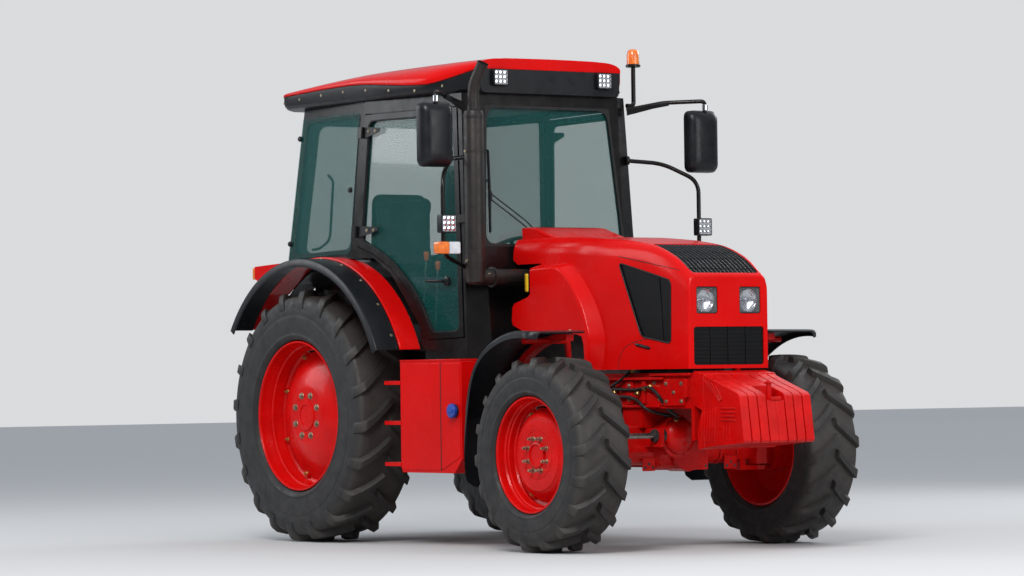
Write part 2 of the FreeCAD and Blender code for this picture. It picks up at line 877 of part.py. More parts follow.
outer = hood_loft(0, 0, 0)
inner = hood_loft(hood_wall, -20, -hood_wall)
for solid, inset in ((outer, 0), (inner, hood_wall)):
    left_flank = flank(inset)
    both_flanks = [left_flank, left_flank.mirror(Vector(), Vector(0, 1, 0))]
    if inset:
        inner = solid.fuse(both_flanks)
    else:
        outer = solid.fuse(both_flanks)
sides = side_cut(hood_outline, -600, 600)
shell = outer.cut(inner).common(sides)
mesh_side = side_cut(side_mesh, -600, 600)
mesh_top = Part.makeBox(
    378, 480, 400, Vector(nose_x - 398, -240, hood_top - 260)
)
mesh_front = Part.makeBox(60, 500, 215, Vector(nose_x - 30, -250, hood_low + 20))
lamp_low = v("nose_top") - 215
seat_gap = v("seat_gap")
lamp_cuts = [
    Part.makeBox(
        80,
        152 + 2 * seat_gap,
        152 + 2 * seat_gap,
        Vector(nose_x - 60, side - seat_gap, lamp_low - seat_gap),
    )
    for side in (77, -229)
]
hinge_room = Part.makeBox(110, 140, 160, Vector(back - 10, -70, hood_top - 100))
hinge_bore = Part.makeCylinder(
    v("hood_pin_radius + bearing_gap"),
    240,
    Vector(v("hood_pin_x"), -120, v("hood_pin_z")),
    Vector(0, 1, 0),
)
cowl = front_cut(
    [(-267, hood_top - 12), (267, hood_top - 12), (250, hood_top + 70), (-250, hood_top + 70)],
    back,
    back + 340,
)
slope = side_cut(
    [(back + 120, hood_top + 75), (back + 345, hood_top + 75), (back + 345, hood_top + 5)],
    -300,
    300,
)
cowl = cowl.cut(slope)
shell = shell.fuse(cowl)
for opening in [mesh_side, mesh_top, mesh_front, hinge_room, hinge_bore] + lamp_cuts:
    shell = shell.cut(opening)
node(feature(shell, "Hood"), "hood_shell")

backing = hood_loft(hood_wall * 0.3, 0, -hood_wall * 0.3).cut(
    hood_loft(hood_wall * 0.8, -20, -hood_wall * 0.8)
)
panels = []
for opening in (mesh_side, mesh_top, mesh_front):
    panels += backing.common(opening).Solids
node(feature(Part.makeCompound(panels), "Mesh"), "grille_panels")

lamps = []
for side in (77, -229):
    lamps.append(Part.makeBox(50, 152, 152, Vector(nose_x - 52, side, lamp_low)))
node(feature(Part.makeCompound(lamps), "Headlights"), "headlights")


# Cab

floor = v("cab_floor")
sill = v("cab_sill")
belt = v("cab_belt")
top = v("cab_top")
wall = v("cab_wall")
cab_front = v("cab_front")
cab_rear = v("cab_rear")
cab_half = v("cab_half")

# The cab's plan at floor level, as one side's corners from front to rear.
# Columns: x, y, and the lean of the wall after that corner over the full height.
cab_rows = [
    (cab_front, 0, 120),
    (cab_front, 500, 100),
    (cab_front - 60, 640, 52),
    (176, cab_half, 86),
    (cab_rear + 62, 700, 220),
    (cab_rear, 613, 230),
]


def cab_outline(level, inset):
    """The cab's corners at a level, its walls moved in by lean and inset."""
    share = (level - floor) / (top - floor)
    left = [(x, y) for x, y, lean in cab_rows[1:]]
    leans = [row[2] for row in cab_rows[1:]]
    ring = left + [(x, -y) for x, y in reversed(left)]
    lean_ring = leans[:-1] + [leans[-1]] + list(reversed(leans[:-1])) + [cab_rows[0][2]]
    lines = []
    count = len(ring)
    for at in range(count):
        first = ring[at]
        second = ring[(at + 1) % count]
        run = (second[0] - first[0], second[1] - first[1])
        size = math.hypot(*run)
        normal = (-run[1] / size, run[0] / size)
        if normal[0] * (first[0] - 400) + normal[1] * first[1] < 0:
            normal = (-normal[0], -normal[1])
        reach = normal[0] * first[0] + normal[1] * first[1]
        lines.append((normal, reach - lean_ring[at] * share - inset))
    corners = []
    for at in range(count):
        (a, b), one_reach = lines[at - 1]
        (c, d), two_reach = lines[at]
        det = a * d - b * c
        corners.append(
            Vector(
                (one_reach * d - two_reach * b) / det, (a * two_reach - c * one_reach) / det, level
            )
        )
    return corners


def cab_solid(low, high, inset):
    rings = []
    for level in (low, high):
        corners = cab_outline(level, inset)
        rings.append(Part.makePolygon(corners + corners[:1]))
    return Part.makeLoft(rings, True, True)


arch_centre = Vector(v("arch_x"), 0, v("rear_radius"))
arch = v("arch_radius")
cab_walls = cab_solid(sill - 40, top + 30, 0).cut(cab_solid(sill - 60, top + 40, wall))
low_tail = side_cut(
    [
        (cab_rear - 100, sill - 60),
        (cab_rear - 100, belt),
        (470, belt),
        (640, belt - 100),
        (930, sill + 100),
        (930, sill - 60),
    ],
    -1000,
    1000,
)


def door_outline(grow):
    """The door's opening in side view, its rear edge following the mudguard."""
    def spot(angle):
        turn = math.radians(angle)
        reach = arch + v("door_reach") - grow
        return Vector(
            arch_centre.x + reach * math.cos(turn), -1000, arch_centre.z + reach * math.sin(turn)
        )

    corners = [
        Vector(v("door_top_rear") - grow, -1000, top - 45 + grow),
        Vector(1238 + grow, -1000, top - 45 + grow),
        Vector(1338 + grow, -1000, sill + 30 - grow),
    ]
    corners += [spot(angle) for angle in (25, 35, 46, 57, 67)]
    foot = Vector(v("door_foot"), -1000, spot(76).z)
    corners.append(foot - Vector(grow, 0, grow * 0.3))
    return face_of(corners).extrude(Vector(0, 1000, 0))


pillar = v("pillar_width")
side_window = [
    (cab_rear + 318, top - 45),
    (v("door_top_rear") - pillar, top - 45),
    (v("door_foot") - pillar, belt + 45),
    (cab_rear + 197, belt + 30),
]
side_window_cut = side_cut(side_window, -1000, 1000)
screen_cut = front_cut(
    [(-520, belt + 40), (520, belt + 40), (455, top - 40), (-455, top - 40)], 1000, 1600
)
rear_cut = front_cut(
    [(-540, belt + 40), (540, belt + 40), (500, top - 50), (-500, top - 50)], -900, -200
)
right_door_hole = door_outline(0)
left_door_hole = right_door_hole.mirror(Vector(), Vector(0, 1, 0))
frame = cab_walls.cut(low_tail)
for opening in (side_window_cut, screen_cut, rear_cut, right_door_hole, left_door_hole):
    frame = frame.cut(opening)


def hinge_frame(height):
    """A frame on the left door's hinge line: x forward along the wall, y outward."""
    levels = (1850, 2500)
    spots = []
    for level in levels:
        ring = cab_outline(level, 0)
        fall = (top - 45 - level) / (top - 45 - 1790)
        x = v("door_top_rear") + 3 - fall * (v("door_top_rear") - v("door_foot"))
        share = (x - ring[2].x) / (ring[1].x - ring[2].x)
        spots.append(ring[2] + (ring[1] - ring[2]) * share)
    line = (spots[1] - spots[0]).normalize()
    forward = ring[1] - ring[2]
    outward = line.cross(forward).normalize()
    forward = outward.cross(line)
    spot = spots[0] + line * ((height - levels[0]) / line.z) + outward * 18
    rows = zip(forward, outward, line, spot)
    matrix = FreeCAD.Matrix(*[number for row in rows for number in row], 0, 0, 0, 1)
    return FreeCAD.Placement(matrix)


def boxed(x0, x1, y0, y1, z0, z1):
    return Part.makeBox(x1 - x0, y1 - y0, z1 - z0, Vector(x0, y0, z0))


def upright(radius, low, high):
    return tube([Vector(0, 0, low), Vector(0, 0, high)], radius)


def seated(shapes, spot):
    """Fuses shapes made in a frame of their own and sets them in place."""
    whole = one(shapes) if len(shapes) > 1 else shapes[0].copy()
    whole.Placement = spot
    return whole


hinge_levels = (1880, 2480)
for height in hinge_levels:
    pillar_leaf = [
        upright(8, -34, 34),
        upright(13, 20, 34),
        upright(13, -34, -20),
        boxed(-60, -15, -30, -10, -34, 34),
        boxed(-15, 0, -18.5, -5, 20, 34),
        boxed(-15, 0, -18.5, -5, -34, -20),
    ]
    leaf = seated(pillar_leaf, hinge_frame(height))
    frame = frame.fuse(leaf).fuse(leaf.mirror(Vector(), Vector(0, 1, 0)))
node(feature(frame, "CabFrame"), "cab_frame")

pane_skin = cab_solid(sill - 40, top, 16).cut(cab_solid(sill - 60, top + 10, 16 + v("glass")))
panes = []
for opening in (side_window_cut, screen_cut, rear_cut):
    panes += pane_skin.common(opening).Solids
node(feature(Part.makeCompound(panes), "Panes"), "cab_glass")

moving = v("moving_gap")
door_rim = v("door_rim")
door_skin = cab_solid(sill - 40, top, 0).cut(cab_solid(sill - 60, top + 10, wall - 8))
door_plate = door_skin.common(door_outline(-moving))
door_pane_hole = door_outline(-moving - door_rim)
door_frame = door_plate.cut(door_pane_hole)
door_pane = pane_skin.common(door_pane_hole)
door_left = door_frame.mirror(Vector(), Vector(0, 1, 0))
for height in hinge_levels:
    door_leaf = [upright(13, -19, 19), boxed(0, 60, -18.5, -9, -19, 19)]
    leaf = seated([one(door_leaf).cut(upright(9, -30, 30))], hinge_frame(height))
    door_left = door_left.fuse(leaf)
door_frame_left = feature(door_left, "Door")
door_frame_right = mirrored(door_frame_left)
node(door_frame_left, "door_left_frame")
node(door_frame_right, "door_right_frame")
node(feature(door_pane.mirror(Vector(), Vector(0, 1, 0)), "DoorPane"), "door_left_glass")
node(feature(door_pane, "DoorPane"), "door_right_glass")

tub_half = v("rear_track / 2 - rear_tyre_width / 2 - tyre_gap")
deck = v("deck_floor")
deck_front = v("deck_front")
tub_back = cab_rear + 260
inner_arch = arc_band(
    arch_centre, arch - 15, arch - 3, 26, 122, tub_half, v("arch_inner")
)
tub_line = [(spot.x, spot.z) for spot in arc_line(arch_centre, arch - 9, 26, 122)]
tub_line += [
    (tub_back, deck - 40),
    (deck_front - 20, deck - 40),
    (deck_front - 20, floor - 50),
    (cab_front - 440, floor - 50),
]
tub_side = side_cut(tub_line, tub_half, tub_half + 14)
front_floor = cab_solid(floor - 50, floor, 0).common(
    Part.makeBox(900, 2000, 200, Vector(cab_front - 440, -1000, floor - 100))
)
mid_floor = Part.makeBox(
    cab_front - 440 - deck_front, 2 * tub_half, 50, Vector(deck_front, -tub_half, floor - 50)
)
riser = Part.makeBox(
    20, 2 * tub_half, deck - floor + 50, Vector(deck_front - 20, -tub_half, floor - 50)
)
deck_plate = Part.makeBox(
    deck_front - tub_back, 2 * tub_half, 40, Vector(tub_back, -tub_half, deck - 40)
)
tail_wall = Part.makeBox(
    40, 2 * tub_half, belt - deck + 40, Vector(tub_back - 20, -tub_half, deck - 40)
)
tail_top = Part.makeBox(
    180,
    2 * v("arch_inner"),
    belt - arch_centre.z - arch + 150,
    Vector(tub_back - 160, -v("arch_inner"), arch_centre.z + arch - 150),
)
tub = one(
    [
        front_floor,
        tail_top,
        mid_floor,
        riser,
        deck_plate,
        tail_wall,
        inner_arch,
        inner_arch.mirror(Vector(), Vector(0, 1, 0)),
        tub_side,
        tub_side.mirror(Vector(), Vector(0, 1, 0)),
    ]
)
node(feature(tub, "Tub"), "cab_base")


# Rear mudguards

roof_tail_x = v("cab_rear")
red_guard = arc_band(
    arch_centre,
    arch,
    arch + v("arch_wall"),
    24,
    146,
    v("arch_inner") + v("seat_gap"),
    v("arch_middle"),
)
tail_box = side_cut(
    [
        (arch_centre.x, arch_centre.z + arch - 20),
        (arch_centre.x - 280, arch_centre.z + arch - 40),
        (arch_centre.x - 580, arch_centre.z + arch - 215),
        (roof_tail_x, arch_centre.z + arch - 125),
        (roof_tail_x, arch_centre.z + arch - 25),
        (arch_centre.x, arch_centre.z + arch - 4),
    ],
    v("arch_inner") + v("seat_gap"),
    v("arch_middle"),
)
red_guard = one([red_guard, tail_box]).cut(frame)
node(both(feature(red_guard, "RedGuard")), "rear_mudguards")
flare = one(
    [
        arc_band(arch_centre, arch - 8, arch, 24, 146, v("arch_middle") + 0.3, v("arch_outer")),
        arc_band(
            arch_centre,
            arch - v("arch_lip"),
            arch - 1,
            24,
            146,
            v("arch_outer") - 8,
            v("arch_outer"),
        ),
    ]
)
node(both(feature(flare, "Flare")), "mudguard_extensions")


# Roof

roof_rear = v("roof_rear")
roof_front = v("roof_front")
roof_half = v("roof_half")
roof_low = v("roof_low")
roof_high = v("roof_high")

# Columns: x, half width, edge height, shoulder half width, crown height.
roof_rows = [
    (roof_rear, 560, roof_low + 10, 470, roof_low + 30),
    (roof_rear + 240, roof_half, roof_low + 30, 620, roof_high - 78),
    (300, roof_half, roof_low + 52, 600, roof_high - 20),
    (roof_front - 300, roof_half - 40, roof_low + 10, 560, roof_high),
    (roof_front, 520, roof_low + 95, 470, roof_high + 8),
]


def roof_section(row, sink):
    x, half, edge, shoulder, crown = row
    low = edge - sink
    points = [(-half, low), (half, low), (half, edge), (shoulder, crown - 12)]
    points += [(-shoulder, crown - 12), (-half, edge)]
    return [Vector(x, y, z) for y, z in points]


cap = skin([roof_section(row, 6) for row in roof_rows])
node(feature(cap, "RoofCap"), "roof_cap")

band_rows = []
for x, half, edge, shoulder, crown in roof_rows:
    band_rows.append((x, half, edge))
band_low = top + 30 + v("seat_gap")


def band_section(x, half, edge):
    points = [(-half + 40, band_low), (half - 40, band_low), (half - 6, edge - 30)]
    points += [(half - 6, edge - 6.3), (-half + 6, edge - 6.3), (-half + 6, edge - 30)]
    return [Vector(x, y, z) for y, z in points]


band = skin(
    [band_section(*row) for row in [(roof_rear + 60, 600, roof_low + 15)] + band_rows[1:]]
)
visor = side_cut(
    [
        (roof_front - 120, roof_low - 40),
        (roof_front - 6, roof_low - 40),
        (roof_front - 6, roof_low + 85),
        (roof_front - 120, roof_low + 54),
    ],
    -490,
    490,
)
band = band.fuse(visor)
node(feature(band, "RoofBand"), "roof_band")


# Inside the cab

column_foot = Vector(cab_front - 400, 0, 1540)
column_head = Vector(cab_front - 510, 0, 1740)
wheel_axis = (column_head - column_foot).normalize()
wheel_turn = FreeCAD.Rotation(Vector(0, 1, 0), wheel_axis)
column = feature(
    one([rod(column_foot, column_head - wheel_axis * 22, 24), rod(column_foot, column_head, 9)]),
    "Column",
)
dash = joined(
    block("cab_front - 330", "cab_front - 110", "-300", "300", "cab_floor", "1640"),
    block("cab_front - 430", "cab_front - 330", "-120", "120", "cab_floor", "1590"),
    column,
)
node(dash, "dashboard")
grip = lathe([(192, 12), (168, 12), (168, -12), (192, -12)], 16)
boss = lathe([(34, 10), (4, 10), (4, -20), (34, -20)], 8)
wheel_parts = [grip, boss]
for angle in (90, 210, 330):
    turn = math.radians(angle)
    wheel_parts.append(
        bar(Vector(), Vector(math.cos(turn), 0, math.sin(turn)) * 178, 8, 22)
    )
bore = Part.makeCylinder(9 + v("bearing_gap"), 100, Vector(0, -50, 0), Vector(0, 1, 0))
hand_wheel = one(wheel_parts).cut(bore)
hand_wheel.Placement = FreeCAD.Placement(column_head - wheel_axis * 1, wheel_turn)
node(feature(Part.makeCompound([hand_wheel]), "HandWheel"), "steering_wheel")

pedestal = joined(
    block("-200", "130", "-190", "190", "deck_floor", "deck_floor + 40"),
    block("-160", "90", "-130", "130", "deck_floor + 40", "deck_floor + 120"),
)
node(pedestal, "chair_pedestal")
cushions = group(
    block("-220", "270", "-240", "240", "deck_floor + 120 + seat_gap", "deck_floor + 240"),
    block("-310", "-220 - seat_gap", "-230", "230", "deck_floor + 200", "deck_floor + 780"),
)
node(cushions, "chair_cushions")
lever_parts = []
lever_rows = ((420, -330, 560, 60), (520, -300, 500, 40), (700, 260, 520, -50))
for foot_x, foot_y, height, lean in lever_rows:
    foot = Vector(foot_x, foot_y, floor)
    head = foot + Vector(lean, 0, height)
    stick = bar(foot, head, 12, 12)
    knob = Part.makeBox(34, 34, 60, head + Vector(-17, -17, -10))
    base = Part.makeBox(90, 70, 40, foot + Vector(-45, -35, 0))
    trimmed = stick.common(Part.makeBox(400, 400, 900, foot + Vector(-200, -200, 0)))
    lever_parts.append(one([trimmed, knob, base]))
node(feature(Part.makeCompound(lever_parts), "Levers"), "levers")


# Exhaust

exhaust_x = v("exhaust_x")
exhaust_y = -v("exhaust_y")
stack = tube(
    [Vector(exhaust_x, exhaust_y, 1530), Vector(exhaust_x, exhaust_y, 2552)],
    v("exhaust_radius"),
    12,
)
tail_pipe = tube(
    [
        Vector(exhaust_x, exhaust_y, 2540),
        Vector(exhaust_x, exhaust_y, 2660),
        Vector(exhaust_x + 75, exhaust_y + 22, 2830),
    ],
    36,
)
side_pipe = tube(
    [Vector(exhaust_x, exhaust_y, 1575), Vector(exhaust_x, -200, 1575)], 50, 12
)
clamp = Part.makeBox(240, 30, 50, Vector(exhaust_x - 240, exhaust_y + 30, 1900)).cut(
    cab_solid(sill - 40, top + 30, -v("seat_gap"))
)
exhaust = one([stack, tail_pipe, side_pipe, clamp])
node(feature(exhaust, "Exhaust"), "exhaust_stack")


# Handrails with lamps, mirrors and beacon

cab_body = cab_solid(sill - 40, top + 30, -v("seat_gap"))
rail_x = v("rail_x")
rail_y = v("rail_y")
mirror_x = v("mirror_x")
beacon_x = v("beacon_x")
beacon_y = v("beacon_y")
rail_r = v("rail_radius")
rail_tube = tube(
    [
        Vector(1310, 560, 2290),
        Vector(1410, 780, 2270),
        Vector(rail_x, rail_y, 2160),
        Vector(rail_x, rail_y, 1700),
        Vector(1360, 560, 1600),
    ],
    rail_r,
)
mirror_arm = tube(
    [
        Vector(1265, 560, 2590),
        Vector(1400, 800, 2640),
        Vector(mirror_x, v("mirror_y"), 2645),
        Vector(mirror_x, v("mirror_y"), 2588),
    ],
    rail_r,
)
rails_left = feature(Part.makeCompound([rail_tube, mirror_arm]).cut(cab_body), "Rails")
node(both(rails_left), "handrails")
mirror_head = block(
    "mirror_x - 60", "mirror_x + 30", "mirror_y - 125", "mirror_y + 100", "2212", "2588"
)
node(both(mirror_head), "mirror_heads")
rail_lamp = block(
    "rail_x + rail_radius",
    "rail_x + 70",
    "rail_y - lamp_side / 2",
    "rail_y + lamp_side / 2",
    "1880 - lamp_side / 2",
    "1880 + lamp_side / 2",
)
roof_lamp = block(
    "roof_front",
    "roof_front + 36",
    "381 - lamp_side / 2",
    "381 + lamp_side / 2",
    "roof_low - 12",
    "roof_low + 85",
)
node(both(group(rail_lamp, roof_lamp)), "work_lamps")
turn_signal = block(
    "rail_x + rail_radius", "rail_x + 65", "rail_y - 80", "rail_y + 80", "1703", "1777"
)
tail_lamp = block(
    "cab_rear - 35", "cab_rear", "arch_inner + 10", "arch_middle - 5", "1615", "1695"
)
node(both(group(turn_signal, tail_lamp)), "signal_lamps")
beacon_post = tube(
    [
        Vector(beacon_x, 560, 2625),
        Vector(beacon_x, beacon_y, 2625),
        Vector(beacon_x, beacon_y, 2865),
    ],
    14,
).cut(cab_body)
beacon = joined(
    feature(beacon_post, "Post"),
    casting("z", "45", "16", "beacon_x", "beacon_y", "2860"),
    casting("z", "38", "95", "beacon_x", "beacon_y", "2876"),
)
node(beacon, "beacon")


# Side boxes with steps

side_box = block("box_back", "box_front", "560", "box_half", "box_low", "box_high")
hanger = block(
    "box_back + 100", "box_back + 320", "housing_half", "560", "box_high - 100", "box_high - 60"
)
steps = []
for level in (974, 737, 493):
    steps.append(
        block(
            "box_back - step_reach",
            "box_back",
            "620",
            "box_half",
            "%d - 24" % level,
            "%d" % level,
        )
    )
node(both(joined(side_box, hanger, *steps)), "side_boxes")


# Rear hitch

drawbar = less(
    block("-620", "-60", "-40", "40", "420", "455"),
    drum("z", "drawbar_bore", "100", "-580", "0", "400"),
)
drawbar_hanger = block("-300", "-60", "-70", "70", "455", "520")
boss = casting("x", "52", "60", "-360", "0", "640")
pto = drum("x", "pto_radius", "stub_length", "-360 - stub_length", "0", "640")
node(joined(drawbar, drawbar_hanger, boss, pto), "rear_coupling")

link_pin = Vector(v("link_pin_x"), v("link_pin_y"), v("link_pin_z"))
link_end = Vector(35 - v("rear_overhang"), v("link_end_y"), v("link_end_z"))
ball_width = v("ball_width")
across = Vector(0, 1, 0)
link_eye = Part.makeBox(70, ball_width, 70, link_end - Vector(35, ball_width / 2, 35))
eye_bore = Part.makeCylinder(v("ball_bore"), 200, link_end - across * 100, across)
for shape in (link_eye, eye_bore):
    shape.rotate(link_end, Vector(0, 0, 1), v("ball_toe"))
pivot = Part.makeBox(60, 22, 60, link_pin - Vector(30, 11, 30))
link_arm = one([bar(link_pin, link_end, 22, 60), pivot, link_eye]).cut(eye_bore)
link_arm = link_arm.cut(
    Part.makeCylinder(
        v("link_pin_radius + bearing_gap"), 200, link_pin - across * 100, across
    )
)
node(both(feature(link_arm, "LowerLink")), "lower_links")

shaft = Vector(v("shaft_x"), 0, v("shaft_z"))
lift_y = v("lift_y")
lift_tip = shaft + Vector(-v("lift_reach"), 0, 30)
arm_plate = bar(shaft + across * (lift_y + 11), lift_tip + across * (lift_y + 11), 22, 56)
arm_plate = arm_plate.fuse(Part.makeBox(56, 22, 56, lift_tip + Vector(-28, lift_y, -28)))
rock_shaft = Part.makeCylinder(
    v("shaft_radius"), 2 * (lift_y + 22), shaft - across * (lift_y + 22), across
)
tip_pin = Part.makeCylinder(14, 60, lift_tip + across * (lift_y - 38), across)
arm_pair = [arm_plate, tip_pin]
arm_pair += [shape.mirror(Vector(), across) for shape in arm_pair]
node(feature(one([rock_shaft] + arm_pair), "LiftArms"), "lift_arms")

rod_y = lift_y - 18
rod_foot = lift_tip + Vector(0, rod_y, v("link_end_z") + 80 - lift_tip.z)
lift_rod = one(
    [
        bar(lift_tip + across * rod_y, rod_foot, 24, 24),
        Part.makeBox(56, 24, 56, lift_tip + Vector(-28, rod_y - 12, -28)),
        Part.makeBox(50, 24, 50, rod_foot - Vector(25, 12, 25)),
    ]
).cut(
    Part.makeCylinder(14 + v("bearing_gap"), 200, lift_tip + across * (rod_y - 100), across)
)
node(both(feature(lift_rod, "LiftRod")), "lift_rods")

eye = Vector(v("top_link_x"), 0, v("top_link_z"))
top_foot = Vector(-300 - v("seat_gap"), 0, 900)
top_link = one(
    [
        bar(top_foot, eye, 40, 40).common(Part.makeBox(900, 200, 900, Vector(-1200.3, -100, 300))),
        Part.makeBox(70, ball_width, 70, eye - Vector(35, ball_width / 2, 35)),
    ]
).cut(Part.makeCylinder(v("top_bore"), 200, eye - across * 100, across))
node(feature(top_link, "TopLink"), "top_link")

bad = []
doc.recompute()
for thing in doc.Objects:
    if "Invalid" in thing.State or "Error" in thing.State:
        bad.append("%s is %s" % (thing.Name, thing.State))
for thing in nodes:
    if thing.Shape.isNull() or not thing.Shape.isValid():
        bad.append("%s has no valid shape" % thing.Label)
if bad:
    raise SystemExit("\n".join(bad))
for thing in nodes:
    thing.Shape.exportStep("parts/%s.step" % thing.Label)
    print(thing.Label, len(thing.Shape.Solids), round(thing.Shape.Volume / 1e6, 2))
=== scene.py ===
import json
import random

import bmesh
import bpy
from math import asin, copysign, cos, exp, hypot, pi, radians, sin, sqrt, tan, tau
from mathutils import Matrix, Vector


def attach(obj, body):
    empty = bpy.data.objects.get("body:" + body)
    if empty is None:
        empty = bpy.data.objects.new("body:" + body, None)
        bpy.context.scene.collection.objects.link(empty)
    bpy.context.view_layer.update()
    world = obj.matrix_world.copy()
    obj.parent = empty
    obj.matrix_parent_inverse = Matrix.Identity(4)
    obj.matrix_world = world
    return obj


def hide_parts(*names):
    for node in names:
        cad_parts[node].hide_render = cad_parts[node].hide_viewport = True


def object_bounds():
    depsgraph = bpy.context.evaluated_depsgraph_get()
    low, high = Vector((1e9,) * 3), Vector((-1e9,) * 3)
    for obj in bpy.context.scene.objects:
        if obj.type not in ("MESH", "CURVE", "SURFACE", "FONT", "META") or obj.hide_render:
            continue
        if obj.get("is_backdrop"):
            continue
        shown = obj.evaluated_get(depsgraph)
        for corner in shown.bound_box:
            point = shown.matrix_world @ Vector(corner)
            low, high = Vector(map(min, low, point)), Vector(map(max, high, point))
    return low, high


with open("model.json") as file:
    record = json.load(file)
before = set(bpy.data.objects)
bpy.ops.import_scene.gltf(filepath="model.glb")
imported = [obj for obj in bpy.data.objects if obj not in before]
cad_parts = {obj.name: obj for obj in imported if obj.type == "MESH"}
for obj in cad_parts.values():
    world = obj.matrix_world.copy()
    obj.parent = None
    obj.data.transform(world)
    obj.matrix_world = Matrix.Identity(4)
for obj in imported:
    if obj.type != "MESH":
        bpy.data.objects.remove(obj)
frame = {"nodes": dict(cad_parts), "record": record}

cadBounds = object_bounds()
random.seed(7)
forward = Vector((1, 0, 0))
left = Vector((0, 1, 0))
up = Vector((0, 0, 1))
rearAxle = 1.266  # how far the rear axle lies behind the frame's origin


def at(x, y, z):
    # a point with x measured from the rear axle, in metres
    return Vector((x - rearAxle, y, z))


# Materials

